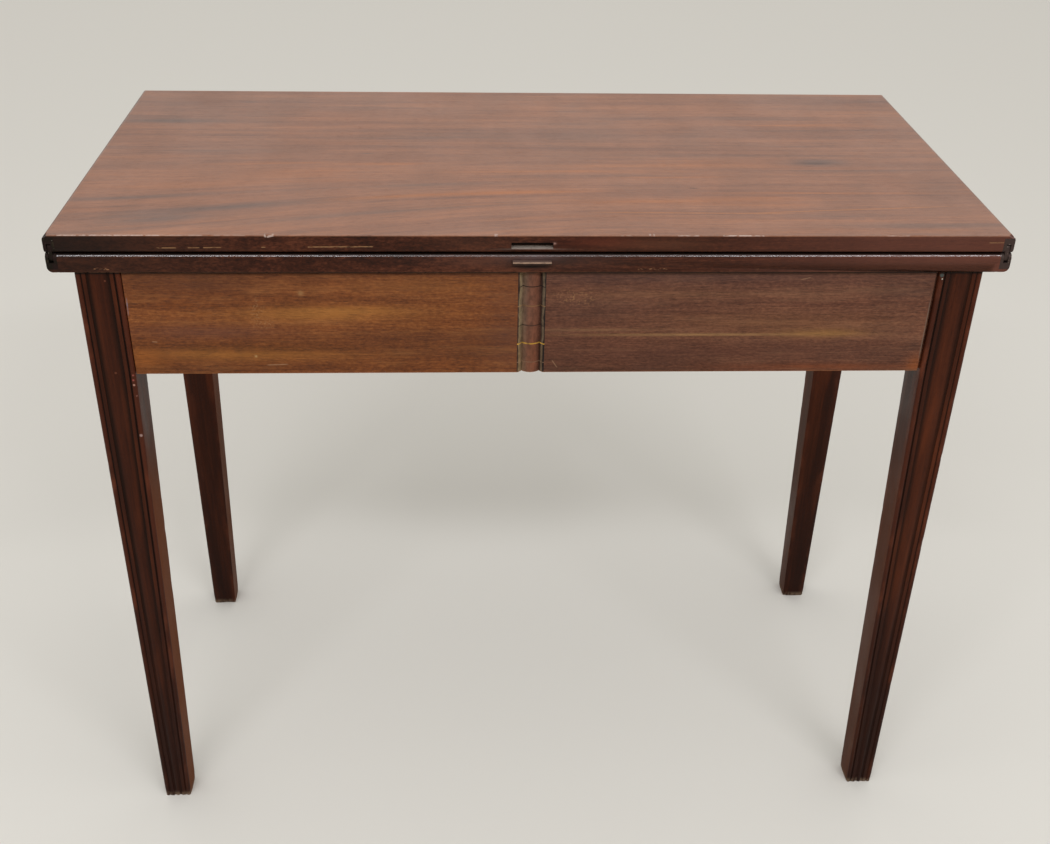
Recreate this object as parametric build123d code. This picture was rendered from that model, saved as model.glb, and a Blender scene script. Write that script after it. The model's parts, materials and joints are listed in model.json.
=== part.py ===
from build123d import *
from math import cos, radians, sin, sqrt
import os

os.makedirs("parts", exist_ok=True)

# Fold-over tea table with one swinging gate leg, in millimetres.
# The origin is on the floor, under the centre of the folded top with its tongue. X runs along
# the length, the hinged rear edge and the gate are on the -Y side, and Z is up.

# Top: two leaves of one size, the flap folded down on the fixed leaf
top_length = 914.0
top_depth = 450.0
top_height = 735.0
leaf_thickness = 18.6
leaf_gap = 0.4
arris_radius = 5.5

# Where the legs stand in from the edges of the top
end_overhang = 22.5
rear_overhang = 4.0
front_overhang = 48.0

# Legs: square above the knee, with the two inner faces tapered below it
leg_width = 42.5
foot_width = 30.0
bead_radius = 2.6
quirk_depth = 1.4
quirk_width = 1.3
fillet_drop = 0.5
fillet_width = 4.0
panel_drop = 1.6
panel_crown = 0.4

# Rails
rail_height = 111.5
rail_recess = 1.5
rail_thickness = 20.0
tenon_thickness = 8.0
tenon_length = 22.0
tenon_shoulder = 12.0
stub_tenon_thickness = 6.0
stub_tenon_length = 14.0
glue_line = 0.1
mortise_end_gap = 1.0

# Gate: the swinging half of the rear rail and its leg, turning on a wooden knuckle that
# stands a little to one side of the middle
knuckle_offset = -3.6
knuckle_radius = 12.0
knuckle_gap = 0.35
bevel_gap = 0.2
bottom_finger = 11.5
top_finger = 18.0
finger_gap = 0.3
finger_count = 6
knuckle_pin_radius = 3.0
knuckle_pin_fit = 0.08
knuckle_pin_inset = 2.0
gate_clearance = 0.5
gate_top_clearance = 0.6
leg_skin = 12.0
tail_count = 4
tail_neck = 13.0
tail_flare = 3.0
tail_fit = 0.05

# Table hinges let into the ends of the leaves: two cheeks with a link between them
pivot_inset = 5.0
link_radius = 4.0
link_thickness = 4.0
link_side_gap = 0.2
link_end_gap = 0.35
cheek_thickness = 3.0
knuckle_back = 3.2
knuckle_cover = 3.0
strap_thickness = 3.0
strap_length = 62.0
strap_height = 11.0
strap_margin = 1.0
let_in_gap = 0.05
hinge_pin_radius = 1.5
hinge_pin_fit = 0.03
hinge_pin_run = 0.08
plate_screw_count = 3
plate_screw_margin = 8.0

# Loose tongue in the fixed leaf, and the mortise in the flap that takes it when open
tongue_offset = -4.6
tongue_length = 37.0
tongue_thickness = 4.0
tongue_centre = 8.0
tongue_reach = 6.4
tongue_under_reach = 3.2
tongue_nose = 1.0
tongue_root = 12.0
tongue_corner = 1.2
slot_length = 39.6
slot_height = 6.4
slot_depth = 8.0

# Screws and glue blocks
plate_screw_radius = 1.75
plate_screw_head = 3.4
plate_screw_sink = 1.9
plate_screw_length = 19.0
frame_screw_radius = 2.4
frame_screw_head = 4.6
frame_screw_sink = 2.6
screw_slot_width = 0.8
screw_slot_depth = 0.7
screw_fit = 0.05
screw_tip_share = 0.25
top_screw_bite = 11.0
long_rail_screw_count = 3
end_rail_screw_count = 2
rear_rail_screw_count = 4
pocket_radius = 6.5
pocket_lean = 14.0
pocket_seat = 22.0
pocket_length = 60.0
rail_screw_bite = 12.0
block_leg = 16.0
block_length = 60.0
long_rail_block_count = 4

# How far a cut runs on past the face that it opens
overrun = 2.0

# Levels and planes worked out from the sizes above
flap_face = top_height - leaf_thickness
leaf_face = flap_face - leaf_gap
frame_top = leaf_face - leaf_thickness
rail_bottom = frame_top - rail_height
rear_edge = (tongue_reach - top_depth) / 2
front_edge = rear_edge + top_depth
leg_outer_x = top_length / 2 - end_overhang
leg_inner_x = leg_outer_x - leg_width
rear_face = rear_edge + rear_overhang
rear_leg_inner_y = rear_face + leg_width
front_face = front_edge - front_overhang
front_leg_inner_y = front_face - leg_width
rear_rail_face = rear_face + rail_recess
pivot_y = rear_rail_face + knuckle_radius
gate_back = pivot_y + knuckle_radius
inner_rail_back = gate_back + gate_clearance
end_rail_outer_x = leg_outer_x - rail_recess
end_rail_inner_x = end_rail_outer_x - rail_thickness
skin_x = leg_outer_x - leg_skin
front_rail_face = front_face - rail_recess
front_rail_inner_y = front_rail_face - rail_thickness
knuckle_width = 2 * cheek_thickness + link_thickness + 2 * link_side_gap
link_x = top_length / 2 - cheek_thickness - link_side_gap - link_thickness / 2
pivot_z = leaf_face - pivot_inset
flap_pivot_z = flap_face + pivot_inset
hinge_y = rear_edge + pivot_inset

LOW = (Align.CENTER, Align.CENTER, Align.MIN)
HIGH = (Align.CENTER, Align.CENTER, Align.MAX)


def block(x0, x1, y0, y1, z0, z1):
    # A box between two limits on each axis
    middle = Pos((x0 + x1) / 2, (y0 + y1) / 2, (z0 + z1) / 2)
    return middle * Box(abs(x1 - x0), abs(y1 - y0), abs(z1 - z0))


def grown(x0, x1, y0, y1, z0, z1, gap, end_gap, axis):
    # The mortise for a tenon: a hair larger round it, and deeper along its own axis
    gaps = [gap, gap, gap]
    gaps[axis] = end_gap
    gx, gy, gz = gaps
    return block(x0 - gx, x1 + gx, y0 - gy, y1 + gy, z0 - gz, z1 + gz)


def flip_x(shape):
    return mirror(shape, about=Plane.YZ)


def flip_y(shape):
    return mirror(shape, about=Plane.XZ)


def both_ends(shape):
    # The shape and its mirror image at the other end of the table
    return [shape, flip_x(shape)]


def save(name, solids):
    # One node: a single solid, or a group of separate solids
    if isinstance(solids, list):
        solids = Compound(children=solids)
    export_step(solids, f"parts/{name}.step")


# Legs

def leg_outline(width):
    # Section of a leg, with its outer corner at the origin and its two outer faces moulded:
    # a bead at each edge, a quirk, a narrow fillet and a broad swelling panel
    side = bead_radius + sqrt(bead_radius ** 2 - (bead_radius - quirk_depth) ** 2)
    quirk_end = side + quirk_width
    panel_start = quirk_end + fillet_width
    near = [
        (side, quirk_depth), (quirk_end, quirk_depth), (quirk_end, fillet_drop),
        (panel_start, fillet_drop), (panel_start, panel_drop),
    ]
    far = [(width - x, y) for x, y in reversed(near)]
    crown = (width / 2, panel_crown)
    edge_bead = [far[-1], (width - bead_radius, 0), (width, bead_radius)]
    corner_mid = bead_radius * (1 - 1 / sqrt(2))

    def face_run(swap):
        def at(point):
            return (point[1], point[0]) if swap else point
        pieces = [Line(at(a), at(b)) for a, b in zip(near, near[1:])]
        pieces.append(ThreePointArc(at(near[-1]), at(crown), at(far[0])))
        pieces += [Line(at(a), at(b)) for a, b in zip(far, far[1:])]
        pieces.append(ThreePointArc(*[at(point) for point in edge_bead]))
        return pieces

    edges = face_run(False)
    edges.append(Line((width, bead_radius), (width, width)))
    edges.append(Line((width, width), (bead_radius, width)))
    edges += list(reversed(face_run(True)))
    edges.append(ThreePointArc((quirk_depth, side), (corner_mid, corner_mid), (side, quirk_depth)))
    return make_face(Wire(edges))


def leg_blank(top):
    # From the floor to the knee the inner faces taper, above it the leg is square
    foot = leg_outline(foot_width)
    knee = Pos(0, 0, rail_bottom) * leg_outline(leg_width)
    tapered = loft([foot, knee], ruled=True)
    square = extrude(knee, amount=top - rail_bottom, dir=(0, 0, 1))
    return tapered + square


# Joints of the rails to the legs. Each tenon is a list of limits, used again for its mortise

def long_tenon(sign, y_middle):
    # A tenon along X at one end of a front or rear rail
    tip = leg_inner_x + tenon_length
    x0, x1 = sorted([sign * leg_inner_x, sign * tip])
    half = tenon_thickness / 2
    return (x0, x1, y_middle - half, y_middle + half,
            rail_bottom + tenon_shoulder, frame_top - tenon_shoulder)


def end_tenon(sign, face_y, into):
    # A tenon along Y at one end of an end rail
    x_middle = sign * (end_rail_outer_x + end_rail_inner_x) / 2
    half = tenon_thickness / 2
    y0, y1 = sorted([face_y, face_y + into * tenon_length])
    return (x_middle - half, x_middle + half, y0, y1,
            rail_bottom + tenon_shoulder, frame_top - tenon_shoulder)


def stub_tenon():
    # The inner rear rail's tenon into the fixed rear leg
    middle = (inner_rail_back + rear_leg_inner_y) / 2
    half = stub_tenon_thickness / 2
    return (-leg_inner_x - stub_tenon_length, -leg_inner_x, middle - half, middle + half,
            rail_bottom + tenon_shoulder, frame_top - tenon_shoulder)


def mortise(limits, axis):
    return grown(*limits, glue_line, mortise_end_gap, axis)


front_rail_middle = (front_rail_face + front_rail_inner_y) / 2


def front_leg(sign):
    # Front leg, moulded on its front and end faces
    leg = Pos(-leg_outer_x, -front_face, 0) * leg_blank(frame_top)
    leg = flip_y(leg)
    if sign > 0:
        leg = flip_x(leg)
    leg -= mortise(long_tenon(sign, front_rail_middle), 0)
    leg -= mortise(end_tenon(sign, front_leg_inner_y, 1), 1)
    return leg


def fixed_rear_leg():
    leg = Pos(-leg_outer_x, rear_face, 0) * leg_blank(frame_top)
    leg -= mortise(long_tenon(-1, pivot_y), 0)
    leg -= mortise(end_tenon(-1, rear_leg_inner_y, -1), 1)
    leg -= mortise(stub_tenon(), 0)
    return leg


def swing_leg():
    # Its inner corner is rebated beside the frame, so that it closes over the frame's corner
    leg = flip_x(Pos(-leg_outer_x, rear_face, 0) * leg_blank(frame_top - gate_top_clearance))
    leg -= mortise(long_tenon(1, pivot_y), 0)
    rebate = block(leg_inner_x - overrun, skin_x, gate_back, rear_leg_inner_y + overrun,
                   rail_bottom - gate_clearance, frame_top + overrun)
    return leg - rebate


# Pocket screws hold the fixed leaf down on the rails

def pocket_axis(x, y, inward):
    # Frame of a pocket screw: its seat in the rail, and its lean towards the rail's top
    lean = radians(pocket_lean)
    up = Vector(-inward[0] * sin(lean), -inward[1] * sin(lean), cos(lean))
    seat = Vector(x, y, frame_top) - up * pocket_seat
    return Plane(origin=seat, z_dir=up).location


def countersunk(radius, head, sink, length):
    # A slotted wood screw pointing up +Z, with its flat head's face at z = 0
    screw = Cone(head, radius, sink, align=LOW)
    screw += Pos(0, 0, sink) * Cylinder(radius, length - sink - radius, align=LOW)
    screw += Pos(0, 0, length - radius) * Cone(radius, radius * screw_tip_share, radius, align=LOW)
    return screw - Box(2 * head + overrun, screw_slot_width, 2 * screw_slot_depth)


def screw_hole(radius, head, sink, length):
    # The countersunk hole that takes such a screw
    hole = Cone(head + screw_fit, radius + screw_fit, sink, align=LOW)
    hole += Cylinder(radius + screw_fit, length + screw_fit, align=LOW)
    hole += Cylinder(head + screw_fit, overrun, align=HIGH)
    return hole


def even_places(low, high, count):
    # Places spread evenly between two limits, half a step in from each
    half_step = (high - low) / count / 2
    return [low + half_step * (2 * index + 1) for index in range(count)]


top_screw_length = pocket_seat + top_screw_bite
end_rail_middle = (end_rail_outer_x + end_rail_inner_x) / 2
inner_rail_middle = (inner_rail_back + rear_leg_inner_y) / 2

long_rail_places = even_places(-leg_inner_x, leg_inner_x, long_rail_screw_count)
end_rail_places = even_places(rear_leg_inner_y, front_leg_inner_y, end_rail_screw_count)

front_pockets = [pocket_axis(x, front_rail_middle, (0, -1)) for x in long_rail_places]
rear_pockets = [pocket_axis(x, inner_rail_middle, (0, 1)) for x in long_rail_places]
left_pockets = [pocket_axis(-end_rail_middle, y, (1, 0)) for y in end_rail_places]
right_pockets = [pocket_axis(end_rail_middle, y, (-1, 0)) for y in end_rail_places]
all_pockets = front_pockets + left_pockets + right_pockets + rear_pockets


def with_pockets(rail, pockets):
    for place in pockets:
        well = Cylinder(pocket_radius, pocket_length, align=HIGH)
        bore = Cylinder(frame_screw_radius + screw_fit, top_screw_length, align=LOW)
        seat = screw_hole(frame_screw_radius, frame_screw_head, frame_screw_sink, top_screw_length)
        rail -= place * well
        rail -= place * bore
        rail -= place * seat
    return rail


def top_screws():
    screw = countersunk(frame_screw_radius, frame_screw_head, frame_screw_sink, top_screw_length)
    return [place * screw for place in all_pockets]


# Fixed rails

def front_rail():
    rail = block(-leg_inner_x, leg_inner_x, front_rail_inner_y, front_rail_face,
                 rail_bottom, frame_top)
    for sign in (-1, 1):
        rail += block(*long_tenon(sign, front_rail_middle))
    return with_pockets(rail, front_pockets)


def left_end_rail():
    rail = block(-end_rail_outer_x, -end_rail_inner_x, rear_leg_inner_y, front_leg_inner_y,
                 rail_bottom, frame_top)
    rail += block(*end_tenon(-1, front_leg_inner_y, 1))
    rail += block(*end_tenon(-1, rear_leg_inner_y, -1))
    return with_pockets(rail, left_pockets)


def tails(gap):
    # Dovetails of the inner rear rail, flaring towards its end
    shapes = []
    for z in even_places(rail_bottom, frame_top, tail_count):
        neck = tail_neck / 2 + gap
        wide = neck + tail_flare
        start = end_rail_inner_x
        end = skin_x - gate_clearance
        outline = Polyline((start, z - neck), (end, z - wide), (end, z + wide), (start, z + neck),
                           close=True)
        face = Plane.XZ.location * make_face(outline)
        tail = extrude(face, amount=rear_leg_inner_y - inner_rail_back, dir=(0, 1, 0))
        shapes.append(Pos(0, inner_rail_back, 0) * tail)
    return shapes


def right_end_rail():
    # The outer part stops short of the swing leg, the inner part runs on to the dovetails
    rail = block(end_rail_inner_x, end_rail_outer_x, rear_leg_inner_y + gate_clearance,
                 front_leg_inner_y, rail_bottom, frame_top)
    rail += block(end_rail_inner_x, skin_x - gate_clearance, inner_rail_back,
                  rear_leg_inner_y + gate_clearance, rail_bottom, frame_top)
    for tail in tails(tail_fit):
        rail -= tail
    rail += block(*end_tenon(1, front_leg_inner_y, 1))
    return with_pockets(rail, right_pockets)


rail_screw_length = rear_leg_inner_y - inner_rail_back + rail_screw_bite
rail_screw_places = [
    Plane(origin=(x, rear_leg_inner_y, (rail_bottom + frame_top) / 2), z_dir=(0, -1, 0)).location
    for x in even_places(-leg_inner_x, knuckle_offset - knuckle_radius, rear_rail_screw_count)
]


def rail_screw_cut():
    return screw_hole(frame_screw_radius, frame_screw_head, frame_screw_sink, rail_screw_length)


def inner_rear_rail():
    # Plain rail of secondary timber that closes the frame behind the gate
    rail = block(-leg_inner_x, end_rail_inner_x, inner_rail_back, rear_leg_inner_y,
                 rail_bottom, frame_top)
    for tail in tails(0):
        rail += tail
    rail += block(*stub_tenon())
    for place in rail_screw_places:
        rail -= place * rail_screw_cut()
    return with_pockets(rail, rear_pockets)


def rail_screws():
    screw = countersunk(frame_screw_radius, frame_screw_head, frame_screw_sink, rail_screw_length)
    return [place * screw for place in rail_screw_places]


# Rear rail: the fixed half and the swinging half, with the knuckle between them

def finger_bands():
    # Heights of the fingers from the bottom up: a short one at each end, equal ones between.
    # The swing rail has the even ones, counted from none at the bottom
    pitch = (rail_height - bottom_finger - top_finger) / (finger_count - 2)
    first = rail_bottom + bottom_finger
    edges = [first + pitch * index for index in range(finger_count - 1)]
    edges = [rail_bottom] + edges + [frame_top]
    return list(zip(edges, edges[1:]))


def rail_plan(sign, back, finger):
    # Plan of one half of the rear rail: with its rounded finger, or cut back for the other's.
    # It is drawn from the knuckle's axis, at x = 0, out to the leg. The two bevels lean at
    # 45 degrees, and meet when the gate has swung through 90
    bevel_angle = 45
    start = knuckle_radius + bevel_gap
    root_x = sign * leg_inner_x - knuckle_offset
    root = (root_x, rear_rail_face)
    lip = (sign * start, rear_rail_face)
    radius = knuckle_radius if finger else knuckle_radius + knuckle_gap
    slant = (start - knuckle_radius) / 2
    drop = sqrt(radius ** 2 / 2 - slant ** 2)
    foot = (sign * (drop + slant), pivot_y - drop + slant)
    if finger:
        arc = ThreePointArc(foot, (sign * -radius / sqrt(2), pivot_y - radius / sqrt(2)),
                            (0, pivot_y + radius))
        shoulder = [(0, pivot_y + radius), (0, back), (root_x, back)]
    else:
        turn = radians(bevel_angle / 2)
        arc = ThreePointArc(foot, (sign * radius * cos(turn), pivot_y - radius * sin(turn)),
                            (sign * radius, pivot_y))
        shoulder = [(sign * radius, pivot_y), (sign * radius, back), (root_x, back)]
    edges = [Line(root, lip), Line(lip, foot), arc]
    edges += [Line(a, b) for a, b in zip(shoulder, shoulder[1:]) if a != b]
    edges.append(Line(shoulder[-1], root))
    return Pos(knuckle_offset, 0, 0) * make_face(Wire(edges))


def rear_rail_half(sign, back, top, own_share):
    # Bands alternate between this half's fingers and the room for the other half's
    rail = None
    for index, (low, high) in enumerate(finger_bands()):
        own = index % 2 == own_share
        low_cut = 0 if index == 0 else finger_gap / 2
        ends_at_top = index == finger_count - 1
        high_end = top if ends_at_top else high
        if own:
            floor = low + low_cut
            ceiling = high_end if ends_at_top else high_end - finger_gap / 2
        else:
            floor = low - low_cut
            ceiling = high_end if ends_at_top else high_end + finger_gap / 2
        plan = rail_plan(sign, back, own)
        band = extrude(Pos(0, 0, floor) * plan, amount=ceiling - floor, dir=(0, 0, 1))
        rail = band if rail is None else rail + band
    rail += block(*long_tenon(sign, pivot_y))
    bore = Pos(knuckle_offset, pivot_y, rail_bottom - overrun) * Cylinder(
        knuckle_pin_radius + knuckle_pin_fit, rail_height + 2 * overrun, align=LOW)
    return rail - bore


def fixed_rear_rail():
    rail = rear_rail_half(-1, inner_rail_back, frame_top, 1)
    for place in rail_screw_places:
        rail -= place * rail_screw_cut()
    return rail


def swing_rail():
    return rear_rail_half(1, gate_back, frame_top - gate_top_clearance, 0)


def knuckle_pin():
    length = rail_height - gate_top_clearance - 2 * knuckle_pin_inset
    return Pos(knuckle_offset, pivot_y, rail_bottom + knuckle_pin_inset) * Cylinder(
        knuckle_pin_radius, length, align=LOW)


# Leaves and their hinges are drawn once, as the fixed leaf: rear edge at y = 0,
# meeting face at z = 0 and the wood below it. The flap is the same, turned over

def leaf_blank():
    leaf = block(-top_length / 2, top_length / 2, 0, top_depth, -leaf_thickness, 0)
    low = leaf.faces().sort_by(Axis.Z)[0]
    outer = [edge for edge in low.edges() if edge.center().Y > overrun]
    leaf = fillet(outer, arris_radius)
    meeting = [edge for edge in leaf.edges().filter_by(Axis.X)
               if abs(edge.center().Y) < overrun and abs(edge.center().Z) < overrun]
    return fillet(meeting, pivot_inset)


knuckle_depth = pivot_inset + link_radius + link_end_gap + knuckle_back


def hinge_room(gap):
    # What a hinge plate fills at the right-hand end: its knuckle, which leaves a skin of wood
    # on the leaf's outer face, and its strap
    right = top_length / 2
    knuckle = block(right - knuckle_width - gap, right + overrun, -overrun, knuckle_depth + gap,
                    knuckle_cover - leaf_thickness - gap, overrun)
    strap = block(right - strap_thickness - gap, right + overrun, 0, strap_length + gap,
                  -strap_margin - strap_height - gap, -strap_margin + gap)
    return knuckle + strap


def plate_screw_axes():
    right = top_length / 2
    first = knuckle_depth + plate_screw_margin
    last = strap_length - plate_screw_margin
    step = (last - first) / (plate_screw_count - 1)
    z = -strap_margin - strap_height / 2
    return [Plane(origin=(right, first + step * index, z), z_dir=(-1, 0, 0)).location
            for index in range(plate_screw_count)]


def plate_screw_cut():
    return screw_hole(plate_screw_radius, plate_screw_head, plate_screw_sink, plate_screw_length)


def along_x(radius, length, x, y, z):
    # A round bar along X, centred on a point
    return Pos(x, y, z) * Rot(0, 90, 0) * Cylinder(radius, length)


def hinge_plate(blank):
    plate = blank & hinge_room(0)
    slot_half = link_thickness / 2 + link_side_gap
    reach = link_radius + link_end_gap
    plate -= block(link_x - slot_half, link_x + slot_half, -overrun, pivot_inset + reach,
                   -pivot_inset - reach, overrun)
    plate -= along_x(hinge_pin_radius + hinge_pin_fit, 2 * knuckle_width,
                     link_x, pivot_inset, -pivot_inset)
    for place in plate_screw_axes():
        plate -= place * plate_screw_cut()
    return plate


def leaf(blank):
    # The leaf with its hinges let in and its screw holes
    wood = blank
    for room in both_ends(hinge_room(let_in_gap)):
        wood -= room
    for place in plate_screw_axes():
        for hole in both_ends(place * plate_screw_cut()):
            wood -= hole
    return wood


def plate_screws():
    screw = countersunk(plate_screw_radius, plate_screw_head, plate_screw_sink, plate_screw_length)
    solids = []
    for place in plate_screw_axes():
        solids += both_ends(place * screw)
    return solids


def hinge_pins():
    return both_ends(along_x(hinge_pin_radius, knuckle_width, link_x, pivot_inset, -pivot_inset))


def tongue_profile(gap, nose):
    # Side view of the tongue, or of its mortise where nose is False
    top = -tongue_centre + tongue_thickness / 2 + gap
    bottom = -tongue_centre - tongue_thickness / 2 - gap
    root = tongue_root + gap
    if nose:
        points = [(root, top), (-tongue_reach, top), (-tongue_reach, top - tongue_nose),
                  (-tongue_under_reach, bottom), (root, bottom)]
    else:
        points = [(root, top), (-overrun, top), (-overrun, bottom), (root, bottom)]
    face = Plane.YZ.location * make_face(Polyline(*points, close=True))
    length = tongue_length + 2 * gap
    return Pos(tongue_offset - length / 2, 0, 0) * extrude(face, amount=length, dir=(1, 0, 0))


def leaf_tongue():
    tongue = tongue_profile(0, True)
    corners = [edge for edge in tongue.edges().filter_by(Axis.Z)
               if edge.center().Y < -tongue_under_reach]
    return fillet(corners, tongue_corner)


def on_fixed(shape):
    return Pos(0, rear_edge, leaf_face) * shape


def on_flap(shape):
    return Pos(0, rear_edge, flap_face) * mirror(shape, about=Plane.XY)


def fixed_leaf(drilled):
    wood = on_fixed(drilled - tongue_profile(let_in_gap, False))
    for place in all_pockets:
        wood -= place * Cylinder(frame_screw_radius + screw_fit, top_screw_length + screw_fit,
                                 align=LOW)
    return wood


def flap_leaf(drilled):
    slot = block(tongue_offset - slot_length / 2, tongue_offset + slot_length / 2, -overrun, slot_depth,
                 -tongue_centre - slot_height / 2, -tongue_centre + slot_height / 2)
    return on_flap(drilled - slot)


def hinge_link():
    # A flat bar with round ends, drilled for the two pins
    reach = flap_pivot_z - pivot_z
    bar = block(-link_thickness / 2, link_thickness / 2, -link_radius, link_radius, 0, reach)
    for z in (0, reach):
        bar += along_x(link_radius, link_thickness, 0, 0, z)
    for z in (0, reach):
        bar -= along_x(hinge_pin_radius + hinge_pin_run, 2 * link_thickness, 0, 0, z)
    return Pos(link_x, hinge_y, pivot_z) * bar


# Glue blocks rubbed into the angle between the rails and the fixed leaf

def glue_block():
    # A three-cornered block along X, its corner at the origin, its faces towards +Y and -Z
    outline = Polyline((0, 0), (block_leg, 0), (0, -block_leg), close=True)
    face = Plane.YZ.location * make_face(outline)
    return Pos(-block_length / 2, 0, 0) * extrude(face, amount=block_length, dir=(1, 0, 0))


def glue_blocks():
    solids = []
    for x in even_places(-leg_inner_x, leg_inner_x, long_rail_block_count):
        solids.append(Pos(x, front_rail_inner_y, frame_top) * Rot(0, 0, 180) * glue_block())
        solids.append(Pos(x, rear_leg_inner_y, frame_top) * glue_block())
    middle = (rear_leg_inner_y + front_leg_inner_y) / 2
    solids.append(Pos(-end_rail_inner_x, middle, frame_top) * Rot(0, 0, -90) * glue_block())
    solids.append(Pos(end_rail_inner_x, middle, frame_top) * Rot(0, 0, 90) * glue_block())
    return solids


# Frame
save("front_left_leg", front_leg(-1))
save("front_right_leg", front_leg(1))
save("rear_left_leg", fixed_rear_leg())
save("front_rail", front_rail())
save("left_end_rail", left_end_rail())
save("right_end_rail", right_end_rail())
save("inner_rear_rail", inner_rear_rail())
save("fixed_rear_rail", fixed_rear_rail())
save("rear_rail_screws", rail_screws())
save("knuckle_pin", knuckle_pin())
save("top_screws", top_screws())
save("glue_blocks", glue_blocks())

# Gate
save("swing_rail", swing_rail())
save("swing_leg", swing_leg())

# Leaves and hinges
blank = leaf_blank()
drilled = leaf(blank)
plate = hinge_plate(blank)
link = hinge_link()
save("fixed_leaf", fixed_leaf(drilled))
save("flap_leaf", flap_leaf(drilled))
save("leaf_tongue", on_fixed(leaf_tongue()))
for side, shape in (("right", plate), ("left", flip_x(plate))):
    save(f"{side}_hinge_lower_plate", on_fixed(shape))
    save(f"{side}_hinge_upper_plate", on_flap(shape))
for side, shape in (("right", link), ("left", flip_x(link))):
    save(f"{side}_hinge_link", shape)
save("lower_hinge_pins", [on_fixed(pin) for pin in hinge_pins()])
save("upper_hinge_pins", [on_flap(pin) for pin in hinge_pins()])
save("lower_plate_screws", [on_fixed(screw) for screw in plate_screws()])
save("upper_plate_screws", [on_flap(screw) for screw in plate_screws()])
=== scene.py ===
import bmesh
import bpy
import json
import math
import numpy
import random
from mathutils import Matrix, Vector


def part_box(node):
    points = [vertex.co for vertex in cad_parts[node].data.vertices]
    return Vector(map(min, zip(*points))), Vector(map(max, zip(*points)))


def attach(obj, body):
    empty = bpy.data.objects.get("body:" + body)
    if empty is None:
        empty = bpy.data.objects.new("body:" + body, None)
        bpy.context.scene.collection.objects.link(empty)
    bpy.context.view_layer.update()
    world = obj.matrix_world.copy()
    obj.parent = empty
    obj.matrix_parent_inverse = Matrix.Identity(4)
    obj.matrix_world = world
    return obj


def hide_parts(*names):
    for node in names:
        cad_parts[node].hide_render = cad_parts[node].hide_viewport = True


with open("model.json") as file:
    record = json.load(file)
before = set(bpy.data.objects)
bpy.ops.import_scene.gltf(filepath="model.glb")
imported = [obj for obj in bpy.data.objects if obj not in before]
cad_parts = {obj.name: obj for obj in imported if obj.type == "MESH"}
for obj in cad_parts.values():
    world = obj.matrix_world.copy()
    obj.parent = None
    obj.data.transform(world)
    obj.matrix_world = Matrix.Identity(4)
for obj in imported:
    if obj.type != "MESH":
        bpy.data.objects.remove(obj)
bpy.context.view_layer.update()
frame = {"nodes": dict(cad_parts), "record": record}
print("frame loaded:", len(frame["nodes"]), "nodes")

mm = 0.001
parts = bpy.context.scene.collection


class Reading:
    # What a node gives. A sum with it adds a Math node, or a Vector Math node between two vectors
    def __init__(self, sketch, socket):
        self.sketch = sketch
        self.socket = socket

    def __abs__(self):
        return self.sketch.calc("ABSOLUTE", self)


def sumMethod(operation, turned):
    def method(reading, other):
        pair = (other, reading) if turned else (reading, other)
        return reading.sketch.calc(operation, *pair)
    return method


for name, operation in (("add", "ADD"), ("sub", "SUBTRACT"), ("mul", "MULTIPLY"), ("truediv", "DIVIDE")):
    setattr(Reading, "__%s__" % name, sumMethod(operation, False))
    setattr(Reading, "__r%s__" % name, sumMethod(operation, True))


def isVector(value):
    if isinstance(value, Reading):
        return value.socket.type in ("VECTOR", "RGBA")
    return isinstance(value, tuple)


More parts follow.
